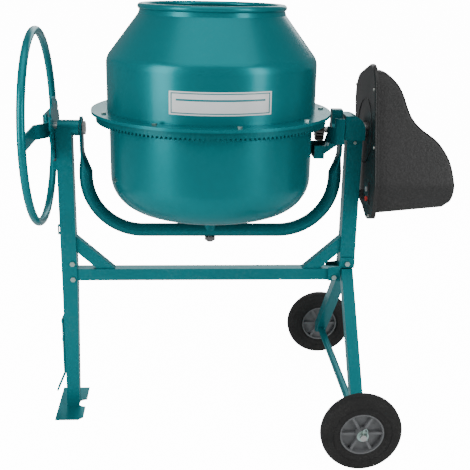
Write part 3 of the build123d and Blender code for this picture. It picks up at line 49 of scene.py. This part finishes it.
CAMERA_REACH = 900.0
LABEL_CLEARANCE = 0.0004     # between the drum's paint and the label
LABEL_STEPS = 48             # round the drum
LABEL_ROWS = 4

bl_info = {
    "name": "Concrete mixer",
    "version": (1, 0, 0),
    "blender": (4, 5, 0),
    "location": "View3D > Sidebar > Mixer",
    "description": "Paint, metal, rubber and plastic finishes for a tilting concrete mixer",
    "category": "Object",
}


# ---- shader writing -----------------------------------------------------------------------------
class Signal:
    """A number that varies over a surface; arithmetic on it adds Math nodes."""

    def __init__(self, board, socket):
        self.board = board
        self.socket = socket

    def _math(self, operation, left, right, clamp=False):
        settings = {"operation": operation, "use_clamp": clamp}
        return self.board.signal("ShaderNodeMath", settings, {0: left, 1: right})

    def __add__(self, other):
        return self._math("ADD", self, other)

    def __radd__(self, other):
        return self._math("ADD", other, self)

    def __sub__(self, other):
        return self._math("SUBTRACT", self, other)

    def __rsub__(self, other):
        return self._math("SUBTRACT", other, self)

    def __mul__(self, other):
        return self._math("MULTIPLY", self, other)

    def __rmul__(self, other):
        return self._math("MULTIPLY", other, self)

    def __gt__(self, other):
        return self._math("GREATER_THAN", self, other)

    def clamped(self):
        return self._math("ADD", self, 0.0, clamp=True)


class Board:
    """The node board of one material."""

    def __init__(self, name):
        self.material = bpy.data.materials.new(name)
        self.material.use_nodes = True
        self.tree = self.material.node_tree
        self.tree.nodes.clear()
        self.place = self.node("ShaderNodeTexCoord").outputs["Object"]

    def node(self, kind, settings=None, inputs=None):
        """Adds a node: its settings first, then the values or links of its sockets."""
        node = self.tree.nodes.new(kind)
        for name, value in (settings or {}).items():
            if name == "stops":
                self._stops(node.color_ramp, value)
            else:
                setattr(node, name, value)
        for name, value in (inputs or {}).items():
            socket = node.inputs[name]
            if isinstance(value, Signal):
                value = value.socket
            if isinstance(value, bpy.types.NodeSocket):
                self.tree.links.new(value, socket)
            else:
                socket.default_value = value
        return node

    def _stops(self, ramp, stops):
        while len(ramp.elements) < len(stops):
            ramp.elements.new(0.5)
        for element, (place, grey) in zip(ramp.elements, stops):
            element.position = place
            element.color = (grey, grey, grey, 1.0)

    def signal(self, kind, settings=None, inputs=None, output=0):
        return Signal(self, self.node(kind, settings, inputs).outputs[output])

    def stretched(self, stretch):
        return self.node("ShaderNodeMapping", None,
                         {"Vector": self.place, "Scale": stretch}).outputs["Vector"]

    def noise(self, scale, detail=3.0, roughness=0.5, stretch=None):
        place = self.stretched(stretch) if stretch else self.place
        return self.signal("ShaderNodeTexNoise", None,
                           {"Vector": place, "Scale": scale, "Detail": detail,
                            "Roughness": roughness})

    def cells(self, scale):
        return self.signal("ShaderNodeTexVoronoi", {"feature": "F1"},
                           {"Vector": self.place, "Scale": scale})

    def ramp(self, value, *stops):
        return self.signal("ShaderNodeValToRGB", {"stops": stops}, {"Fac": value})

    def blend(self, share, first, second):
        """A colour between two colours."""
        settings = {"data_type": "RGBA", "blend_type": "MIX"}
        inputs = {0: share, 6: opaque(first), 7: opaque(second)}
        return self.node("ShaderNodeMix", settings, inputs).outputs[2]

    def bump(self, height, depth, strength=1.0, below=None):
        inputs = {"Height": height, "Distance": depth, "Strength": strength}
        if below is not None:
            inputs["Normal"] = below
        return self.node("ShaderNodeBump", None, inputs).outputs["Normal"]

    def surface(self, **sockets):
        """The finish itself; keywords name the shader's sockets, with _ for a space."""
        inputs = {name.replace("_", " "): value for name, value in sockets.items()}
        if isinstance(inputs["Base Color"], tuple):
            inputs["Base Color"] = opaque(inputs["Base Color"])
        shader = self.node("ShaderNodeBsdfPrincipled", None, inputs)
        self.node("ShaderNodeOutputMaterial", None, {"Surface": shader.outputs["BSDF"]})
        return self.material


def opaque(colour):
    if isinstance(colour, (bpy.types.NodeSocket, Signal)):
        return colour
    return (*colour[:3], 1.0)


def shade(colour, share):
    return tuple(channel * share for channel in colour)


# ---- finishes -----------------------------------------------------------------------------------
def paint(name, colour, gloss=0.30, peel=0.00002, ripple=0.0, dust=0.10, chips=0.0, flake=0.45):
    """Sprayed paint with metal flake: orange peel, ripple in the sheet, thin dust, small chips."""
    board = Board(name)
    clouds = board.noise(3.2, 4.0, 0.55)
    grain = board.noise(300.0, 2.0, 0.5)
    speckle = board.noise(90.0, 5.0, 0.65)
    body = board.blend(board.ramp(clouds, (0.30, 0.0), (0.75, 1.0)), shade(colour, 0.93),
                       shade(colour, 1.07))
    dusty = (board.ramp(speckle, (0.48, 0.0), (0.78, 1.0))
             * board.ramp(board.noise(7.0, 3.0), (0.40, 0.0), (0.70, 1.0)) * dust)
    body = board.blend(dusty, body, (0.34, 0.42, 0.42))
    roughness = gloss + 0.07 * speckle + dusty * 0.6
    if chips:
        flakes = (board.noise(55.0, 4.0, 0.7) > 1.0 - chips)
        body = board.blend(flakes, body, (0.10, 0.085, 0.075))
        roughness = roughness + flakes * 0.25
    height = grain * 0.7 + speckle * 0.3
    normal = board.bump(height, peel, 1.0)
    if ripple:
        normal = board.bump(board.noise(7.5, 1.0, 0.3), ripple, 1.0, normal)
    return board.surface(Base_Color=body, Roughness=roughness, Metallic=flake, Normal=normal,
                         Coat_Weight=0.08, Coat_Roughness=0.12, IOR=1.45, Specular_IOR_Level=0.2)


def zinc(name, colour=(0.60, 0.61, 0.60)):
    """Zinc plate: faint crystals, a yellowish cast in patches and dulled spots."""
    board = Board(name)
    crystals = board.cells(260.0)
    patches = board.noise(60.0, 3.0, 0.6)
    body = board.blend(board.ramp(patches, (0.38, 0.0), (0.68, 1.0)), colour,
                       (colour[0] * 1.02, colour[1] * 0.97, colour[2] * 0.84))
    body = board.blend(board.ramp(board.noise(200.0, 2.0), (0.62, 0.0), (0.72, 0.6)), body,
                       shade(colour, 0.45))
    roughness = 0.24 + 0.20 * patches + 0.08 * crystals
    normal = board.bump(crystals + board.noise(900.0, 2.0) * 0.3, 0.00005)
    return board.surface(Base_Color=body, Roughness=roughness, Metallic=1.0, Normal=normal)


def turned_steel(name, colour=(0.50, 0.50, 0.49), oil=0.0):
    """Machined or rolled steel with fine lines across its length and a film of oil or dust."""
    board = Board(name)
    lines = board.noise(40.0, 4.0, 0.6, (60.0, 6.0, 6.0))
    stains = board.noise(28.0, 4.0, 0.6)
    body = board.blend(lines, shade(colour, 0.82), shade(colour, 1.10))
    body = board.blend(board.ramp(stains, (0.52, 0.0), (0.74, 0.55)), body, shade(colour, 0.42))
    roughness = 0.26 + 0.16 * stains + 0.05 * lines - oil * 0.08
    normal = board.bump(lines, 0.00006)
    return board.surface(Base_Color=body, Roughness=roughness, Metallic=1.0, Normal=normal)


def rubber(name, colour, dust=0.30):
    """Rubber with a sandy bloom of dust and a fine moulded grain."""
    board = Board(name)
    sand = board.noise(180.0, 6.0, 0.72)
    patches = board.noise(14.0, 4.0, 0.6)
    dusty = (board.ramp(sand, (0.42, 0.0), (0.70, 1.0)) * board.ramp(patches, (0.35, 0.15), (0.70, 1.0))
             * dust)
    body = board.blend(board.noise(35.0, 3.0), shade(colour, 0.8), shade(colour, 1.25))
    body = board.blend(dusty, body, (0.16, 0.155, 0.145))
    height = sand * 0.6
    return board.surface(Base_Color=body, Roughness=0.62 + 0.25 * sand, Metallic=0.0,
                         Normal=board.bump(height, 0.00022), Specular_IOR_Level=0.35)


def grained_plastic(name, colour, pale, grain, depth, roughness=0.52, mottle=0.5):
    """Moulded plastic: leathery grain, with pale and dark flecks all over."""
    board = Board(name)
    pebbles = board.cells(grain)
    fine = board.noise(grain * 1.6, 4.0, 0.7)
    flecks = board.ramp(fine, (0.36, 0.0), (0.66, 1.0))
    broad = board.ramp(board.noise(9.0, 4.0, 0.6), (0.30, 0.0), (0.72, 1.0))
    body = board.blend(flecks * mottle, colour, pale)
    body = board.blend(broad * 0.15, body, shade(pale, 0.9))
    rough = roughness + 0.14 * fine - broad * 0.05
    normal = board.bump(pebbles * 0.8 + fine * 0.6, depth)
    return board.surface(Base_Color=body, Roughness=rough, Metallic=0.0, Normal=normal,
                         Specular_IOR_Level=0.45)


def smooth_plastic(name, colour, roughness=0.30):
    """Injection-moulded plastic: nearly even, with a faint flow pattern and light scuffs."""
    board = Board(name)
    flow = board.noise(22.0, 3.0, 0.5, (1.0, 1.0, 3.0))
    scuffs = board.ramp(board.noise(70.0, 5.0, 0.7, (1.0, 5.0, 1.0)), (0.56, 0.0), (0.76, 1.0))
    body = board.blend(flow, shade(colour, 0.90), shade(colour, 1.12))
    body = board.blend(scuffs * 0.18, body, (0.45, 0.45, 0.45))
    normal = board.bump(board.noise(600.0, 2.0), 0.00003)
    return board.surface(Base_Color=body, Roughness=roughness + 0.22 * scuffs + 0.05 * flow,
                         Metallic=0.0, Normal=normal, Coat_Weight=0.08, Coat_Roughness=0.2)


def cast_metal(name, colour, metallic=1.0, roughness=0.50):
    """Sand-cast metal: a coarse skin, darker in its pits."""
    board = Board(name)
    skin = board.noise(230.0, 5.0, 0.65)
    lumps = board.noise(38.0, 3.0, 0.5)
    body = board.blend(board.ramp(skin, (0.34, 0.0), (0.60, 1.0)), shade(colour, 0.55),
                       shade(colour, 1.05))
    normal = board.bump(skin + lumps * 0.8, 0.0004)
    return board.surface(Base_Color=body, Roughness=roughness + 0.20 * skin, Metallic=metallic,
                         Normal=normal)


def laminated_stack(name):
    """Stamped steel sheets stacked along X, with varnish between them."""
    board = Board(name)
    sheets = board.signal("ShaderNodeTexWave", {"bands_direction": "X"},
                          {"Vector": board.place, "Scale": 260.0, "Distortion": 0.2})
    rust = board.ramp(board.noise(60.0, 5.0, 0.65), (0.50, 0.0), (0.72, 1.0))
    body = board.blend(sheets, (0.10, 0.085, 0.08), (0.36, 0.32, 0.30))
    body = board.blend(rust * 0.5, body, (0.22, 0.09, 0.04))
    return board.surface(Base_Color=body, Roughness=0.42 + 0.2 * rust, Metallic=0.8,
                         Normal=board.bump(sheets, 0.00015))


def printed_vinyl(name, ground, ink):
    """A white vinyl label with a plain inked border and one inked band, by its own UV map."""
    board = Board(name)
    uv = board.node("ShaderNodeUVMap", {"uv_map": "label"}).outputs["UV"]
    parts = board.node("ShaderNodeSeparateXYZ", None, {"Vector": uv})
    across = Signal(board, parts.outputs["X"])
    up = Signal(board, parts.outputs["Y"])
    frame_across = ((across > 0.018) - (across > 0.982)) * ((up > 0.06) - (up > 0.94))
    inner = ((across > 0.030) - (across > 0.970)) * ((up > 0.105) - (up > 0.895))
    band = ((across > 0.07) - (across > 0.93)) * ((up > 0.60) - (up > 0.68))
    ink_share = (frame_across - inner + band).clamped()
    wear = board.noise(160.0, 5.0, 0.7)
    body = board.blend(wear, ground, shade(ground, 0.93))
    body = board.blend(ink_share, body, ink)
    return board.surface(Base_Color=body, Roughness=0.30 + 0.12 * wear, Metallic=0.0,
                         Normal=board.bump(wear, 0.00002), Coat_Weight=0.2, Coat_Roughness=0.1)


# ---- sizes and colours that can be changed --------------------------------------------------------
class MixerColours(bpy.types.PropertyGroup):
    turquoise: FloatVectorProperty(
        name="Drum paint", description="Gloss paint of the drum", subtype="COLOR", size=3,
        min=0.0, max=1.0, default=(0.0, 0.190, 0.215))
    frame_paint: FloatVectorProperty(
        name="Frame paint", description="Paint of the stand and the handwheel", subtype="COLOR",
        size=3, min=0.0, max=1.0, default=(0.0, 0.180, 0.205))
    yoke_paint: FloatVectorProperty(
        name="Yoke paint", description="Paint of the yoke and its bracket", subtype="COLOR",
        size=3, min=0.0, max=1.0, default=(0.0, 0.130, 0.150))
    housing: FloatVectorProperty(
        name="Housing", description="Grained plastic of the motor cover", subtype="COLOR",
        size=3, min=0.0, max=1.0, default=(0.006, 0.006, 0.006))
    tyre: FloatVectorProperty(
        name="Tyre", description="Solid rubber of the tyres", subtype="COLOR", size=3,
        min=0.0, max=1.0, default=(0.008, 0.008, 0.008))
    rim: FloatVectorProperty(
        name="Rim", description="Moulded rim of the wheels", subtype="COLOR", size=3,
        min=0.0, max=1.0, default=(0.13, 0.135, 0.14))


class MixerSizes(bpy.types.PropertyGroup):
    label_width: FloatProperty(
        name="Label width", description="Length of the label round the drum", default=0.300,
        min=0.05, max=0.8, unit="LENGTH")
    label_height: FloatProperty(
        name="Label height", description="Height of the label", default=0.066, min=0.02, max=0.2,
        unit="LENGTH")
    label_lift: FloatProperty(
        name="Label lift", description="Height of the label's lower edge over the collar",
        default=0.030, min=0.0, max=0.1, unit="LENGTH")
    label_turn: FloatProperty(
        name="Label turn", description="Direction of the label's middle about the drum's axis",
        default=radians(-87.0), subtype="ANGLE", unit="ROTATION")


class MixerStage(bpy.types.PropertyGroup):
    floor_half: FloatProperty(
        name="Floor", description="Half the width of the floor", default=400.0, min=5.0,
        unit="LENGTH")
    backdrop_glow: FloatProperty(
        name="Backdrop glow", description="How much brighter the floor and sky are seen", default=14.0,
        min=0.0)
    key_power: FloatProperty(
        name="Side light", description="Power of each side light", default=70.0, min=0.0,
        unit="POWER")
    top_power: FloatProperty(
        name="Top light", description="Power of the light overhead", default=32.0, min=0.0,
        unit="POWER")
    fill: FloatProperty(
        name="Fill", description="Strength of the even light all round", default=0.30, min=0.0)


# ---- modelling helpers ----------------------------------------------------------------------------
def colours():
    return bpy.context.scene.mixer_colours


def sizes():
    return bpy.context.scene.mixer_sizes


def finish_nodes(material, *names):
    """Gives CAD nodes their finish."""
    for name in names:
        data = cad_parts[name].data
        data.materials.clear()
        data.materials.append(material)


def new_piece(name, work, material, body, smooth=True):
    data = bpy.data.meshes.new(name)
    work.to_mesh(data)
    work.free()
    for polygon in data.polygons:
        polygon.use_smooth = smooth
    piece = bpy.data.objects.new(name, data)
    bpy.context.scene.collection.objects.link(piece)
    data.materials.append(material)
    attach(piece, body)
    return piece


def middle(node):
    low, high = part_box(node)
    return (low + high) / 2


# ---- operators ------------------------------------------------------------------------------------
class MIXER_OT_stand(bpy.types.Operator):
    """Paint the posts, rail, braces, legs and foot"""
    bl_idname = "mixer.stand"
    bl_label = "Stand"

    def execute(self, context):
        colour = tuple(colours().frame_paint)
        coat = paint("frame_paint", colour, gloss=0.34, dust=0.16, chips=0.24)
        finish_nodes(coat, "foot_plate", "left_leg", "left_upright", "right_upright",
                     "joint_plates", "cross_rail", "corner_braces", "wheel_legs", "lock_guides",
                     "lock_pedal", "bearing_hood")
        finish_nodes(zinc("zinc_bolts", (0.40, 0.55, 0.55)), "frame_bolts", "wheel_retainers")
        finish_nodes(turned_steel("axle_steel"), "axle")
        return {"FINISHED"}


class MIXER_OT_wheels(bpy.types.Operator):
    """Give the tyres their rubber and the rims their moulded plastic"""
    bl_idname = "mixer.wheels"
    bl_label = "Wheels"

    def execute(self, context):
        finish_nodes(rubber("tyre_rubber", tuple(colours().tyre), dust=0.22), "front_tyre",
                     "rear_tyre")
        finish_nodes(smooth_plastic("rim_plastic", tuple(colours().rim), 0.38), "front_rim",
                     "rear_rim")
        return {"FINISHED"}


class MIXER_OT_tilt_lock(bpy.types.Operator):
    """Finish the tilt bearings, the lock and the handwheel"""
    bl_idname = "mixer.tilt_lock"
    bl_label = "Tilt bearings, lock and handwheel"

    def execute(self, context):
        colour = tuple(colours().frame_paint)
        wheel = paint("wheel_paint", shade(colour, 1.08), gloss=0.27, dust=0.06)
        finish_nodes(wheel, "handwheel_ring", "handwheel_spoke", "lock_disc")
        finish_nodes(paint("bearing_paint", colour, gloss=0.34, dust=0.14), "tilt_bearings")
        finish_nodes(turned_steel("shaft_steel"), "trunnions", "lock_rod", "drive_shaft")
        finish_nodes(turned_steel("dark_steel", (0.16, 0.16, 0.16), 1.0), "lock_plunger",
                     "lock_spring")
        return {"FINISHED"}


class MIXER_OT_yoke(bpy.types.Operator):
    """Paint the yoke, its bracket and the pinion's guard"""
    bl_idname = "mixer.yoke"
    bl_label = "Yoke"

    def execute(self, context):
        colour = tuple(colours().yoke_paint)
        coat = paint("yoke_paint", colour, gloss=0.30, dust=0.10)
        finish_nodes(coat, "yoke", "pivot_housing", "pinion_guard")
        finish_nodes(paint("bracket_paint", colour, gloss=0.32, peel=0.00012, dust=0.12),
                     "pinion_bracket")
        finish_nodes(turned_steel("bearing_steel", (0.58, 0.58, 0.57)), "bearing_outer_rings",
                     "bearing_cages", "pivot_inner_rings", "shaft_inner_rings")
        return {"FINISHED"}


class MIXER_OT_drum(bpy.types.Operator):
    """Paint the drum, its collar, ring gear and blades"""
    bl_idname = "mixer.drum"
    bl_label = "Drum"

    def execute(self, context):
        colour = tuple(colours().turquoise)
        coat = paint("drum_paint", colour, gloss=0.27, peel=0.000008, ripple=0.0008, dust=0.03)
        finish_nodes(coat, "lower_drum", "upper_drum", "drum_collar")
        finish_nodes(paint("blade_paint", shade(colour, 0.85), gloss=0.40, dust=0.4, chips=0.3),
                     "mixing_blades")
        # The ring gear has the drum's own paint; darkening it to 0.70 is painted shade for the tooth
        # roots and for the shade under the collar.
        finish_nodes(paint("gear_paint_painted_shade", shade(colour, 0.70), gloss=0.36, peel=0.00012, dust=0.12),
                     "ring_gear")
        finish_nodes(rubber("seal_rubber", (0.02, 0.02, 0.02)), "drum_seal")
        finish_nodes(zinc("drum_bolts", (0.42, 0.56, 0.56)), "drum_fasteners")
        finish_nodes(turned_steel("spindle_steel", (0.20, 0.20, 0.20)), "drum_spindle")
        return {"FINISHED"}


class MIXER_OT_label(bpy.types.Operator):
    """Lay a plain label on the upper drum"""
    bl_idname = "mixer.label"
    bl_label = "Label"

    def execute(self, context):
        low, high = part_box("upper_drum")
        axis = (low + high) / 2
        radius = (high.x - low.x) / 2 + LABEL_CLEARANCE
        size = sizes()
        spread = size.label_width / radius
        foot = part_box("drum_collar")[1].z + size.label_lift
        work = bmesh.new()
        uv_layer = work.loops.layers.uv.new("label")
        bmesh.ops.create_grid(work, x_segments=LABEL_STEPS, y_segments=LABEL_ROWS, size=0.5,
                              calc_uvs=True)
        for face in work.faces:
            for loop in face.loops:
                loop[uv_layer].uv = (loop.vert.co.x + 0.5, loop.vert.co.y + 0.5)
        for vert in work.verts:
            turn = size.label_turn + vert.co.x * spread
            rise = (vert.co.y + 0.5) * size.label_height
            vert.co = Vector((axis.x + radius * cos(turn), axis.y + radius * sin(turn), foot + rise))
        bmesh.ops.recalc_face_normals(work, faces=work.faces)
        outward = sum((face.normal.dot(face.calc_center_median() - axis) for face in work.faces))
        if outward < 0:
            bmesh.ops.reverse_faces(work, faces=work.faces)
        vinyl = printed_vinyl("label_vinyl", (0.80, 0.81, 0.81), tuple(colours().turquoise))
        new_piece("drum_label", work, vinyl, "drum")
        return {"FINISHED"}


class MIXER_OT_drive(bpy.types.Operator):
    """Finish the pinion, pulleys, belt and motor"""
    bl_idname = "mixer.drive"
    bl_label = "Drive and motor"

    def execute(self, context):
        finish_nodes(turned_steel("pinion_steel", (0.12, 0.12, 0.115), 1.0), "pinion",
                     "motor_rotor")
        finish_nodes(cast_metal("cast_aluminium", (0.58, 0.58, 0.59)), "motor_pulley",
                     "motor_housing")
        finish_nodes(smooth_plastic("pulley_plastic", (0.05, 0.05, 0.05)), "large_pulley",
                     "motor_fan")
        finish_nodes(rubber("belt_rubber", (0.02, 0.02, 0.02), 0.2), "drive_belt")
        finish_nodes(laminated_stack("stator_stack"), "motor_stator")
        finish_nodes(zinc("capacitor_can", (0.70, 0.70, 0.71)), "capacitor")
        finish_nodes(turned_steel("plate_steel", (0.30, 0.30, 0.30)), "motor_plates")
        return {"FINISHED"}


class MIXER_OT_housing(bpy.types.Operator):
    """Finish the motor housing, its screws and its switch"""
    bl_idname = "mixer.housing"
    bl_label = "Motor housing and switch"

    def execute(self, context):
        black = tuple(colours().housing)
        finish_nodes(grained_plastic("cover_plastic", black, (0.030, 0.030, 0.030), 110.0,
                                     0.0004, 0.46, 0.75), "motor_cover")
        finish_nodes(grained_plastic("back_plastic", shade(black, 0.75), (0.04, 0.04, 0.04), 420.0,
                                     0.00015, 0.36, 0.35), "motor_back")
        finish_nodes(zinc("housing_screws"), "housing_fasteners")
        finish_nodes(smooth_plastic("switch_plastic", (0.03, 0.03, 0.03)), "switch_body",
                     "power_inlet")
        finish_nodes(smooth_plastic("grey_button", (0.35, 0.36, 0.37)), "on_button")
        finish_nodes(smooth_plastic("red_button", (0.62, 0.03, 0.02)), "off_button")
        return {"FINISHED"}


class MIXER_OT_stage(bpy.types.Operator):
    """Set the floor, the lights and the camera"""
    bl_idname = "mixer.stage"
    bl_label = "Stage"

    def execute(self, context):
        stage = context.scene.mixer_stage
        work = bmesh.new()
        bmesh.ops.create_grid(work, x_segments=1, y_segments=1, size=stage.floor_half)
        data = bpy.data.meshes.new("floor")
        work.to_mesh(data)
        work.free()
        floor = bpy.data.objects.new("floor", data)
        context.scene.collection.objects.link(floor)
        board = Board("floor_paint")
        patches = board.noise(0.8, 3.0)
        pale = board.blend(patches, (0.86, 0.86, 0.86), (0.90, 0.90, 0.90))
        glow = board.signal("ShaderNodeLightPath", output="Is Camera Ray") * stage.backdrop_glow
        data.materials.append(board.surface(Base_Color=pale, Roughness=0.85, Metallic=0.0,
                                            Emission_Color=opaque((1.0, 1.0, 1.0)),
                                            Emission_Strength=glow))
        self.lights(context, stage)
        self.camera(context)
        return {"FINISHED"}

    def lights(self, context, stage):
        """Four softboxes and an even sky, which the camera alone sees as white."""
        world = context.scene.world or bpy.data.worlds.new("studio")
        context.scene.world = world
        world.use_nodes = True
        background = world.node_tree.nodes["Background"]
        background.inputs["Color"].default_value = (0.96, 0.98, 1.0, 1.0)
        nodes = world.node_tree.nodes
        seen = nodes.new("ShaderNodeLightPath").outputs["Is Camera Ray"]
        glow = nodes.new("ShaderNodeMath")
        glow.operation = "MULTIPLY_ADD"
        glow.inputs[1].default_value = stage.backdrop_glow
        glow.inputs[2].default_value = stage.fill
        world.node_tree.links.new(seen, glow.inputs[0])
        world.node_tree.links.new(glow.outputs[0], background.inputs["Strength"])
        aim = Vector((0.0, 0.0, 0.85))
        lamps = (
            ("left_softbox", (-2.6, -1.9, 1.7), 1.3, 2.6, stage.key_power),
            ("right_softbox", (2.4, -2.3, 1.8), 0.9, 2.6, stage.key_power * 0.75),
            ("overhead_softbox", (0.0, -0.6, 3.4), 3.0, 2.4, stage.top_power),
            ("back_softbox", (0.4, 3.2, 2.4), 3.0, 1.5, stage.key_power * 0.6),
        )
        for name, place, width, height, power in lamps:
            data = bpy.data.lights.new(name, "AREA")
            data.shape = "RECTANGLE"
            data.size = width
            data.size_y = height
            data.energy = power
            lamp = bpy.data.objects.new(name, data)
            lamp.location = place
            lamp.rotation_euler = (aim - Vector(place)).to_track_quat("-Z", "Y").to_euler()
            context.scene.collection.objects.link(lamp)

    def camera(self, context):
        """An eye a little left of the mixer, looking down at it and turned slightly right."""
        pitch, yaw, roll = CAMERA_PITCH, CAMERA_YAW, CAMERA_ROLL
        drum_x = middle("upper_drum").x
        forward = Vector((sin(yaw) * cos(pitch), cos(yaw) * cos(pitch), -sin(pitch)))
        level = Vector((cos(yaw), -sin(yaw), 0.0))
        up = level.cross(forward)
        right = level * cos(roll) + up * sin(roll)
        upward = up * cos(roll) - level * sin(roll)
        data = bpy.data.cameras.new("camera")
        data.sensor_width = CAMERA_SENSOR
        data.lens = CAMERA_LENS
        data.clip_end = CAMERA_REACH
        camera = bpy.data.objects.new("camera", data)
        basis = Matrix((right, upward, -forward)).transposed().to_4x4()
        basis.translation = Vector((drum_x + CAMERA_ASIDE, CAMERA_BACK, CAMERA_HEIGHT))
        camera.matrix_world = basis
        context.scene.collection.objects.link(camera)
        context.scene.camera = camera


STEPS = (MIXER_OT_stand, MIXER_OT_wheels, MIXER_OT_tilt_lock, MIXER_OT_yoke, MIXER_OT_drum,
         MIXER_OT_label, MIXER_OT_drive, MIXER_OT_housing, MIXER_OT_stage)


class MIXER_PT_panel(bpy.types.Panel):
    bl_idname = "MIXER_PT_panel"
    bl_label = "Concrete mixer"
    bl_space_type = "VIEW_3D"
    bl_region_type = "UI"
    bl_category = "Mixer"

    def draw(self, context):
        for settings in (context.scene.mixer_colours, context.scene.mixer_sizes,
                         context.scene.mixer_stage):
            for name in settings.__annotations__:
                self.layout.prop(settings, name)
        for step in STEPS:
            self.layout.operator(step.bl_idname)


CLASSES = (MixerColours, MixerSizes, MixerStage, *STEPS, MIXER_PT_panel)


def register():
    for cls in CLASSES:
        bpy.utils.register_class(cls)
    bpy.types.Scene.mixer_colours = PointerProperty(type=MixerColours)
    bpy.types.Scene.mixer_sizes = PointerProperty(type=MixerSizes)
    bpy.types.Scene.mixer_stage = PointerProperty(type=MixerStage)


def unregister():
    del bpy.types.Scene.mixer_stage
    del bpy.types.Scene.mixer_sizes
    del bpy.types.Scene.mixer_colours
    for cls in reversed(CLASSES):
        bpy.utils.unregister_class(cls)


def main():
    register()
    for step in STEPS:
        group, name = step.bl_idname.split(".")
        getattr(getattr(bpy.ops, group), name)()


if __name__ == "__main__":
    main()
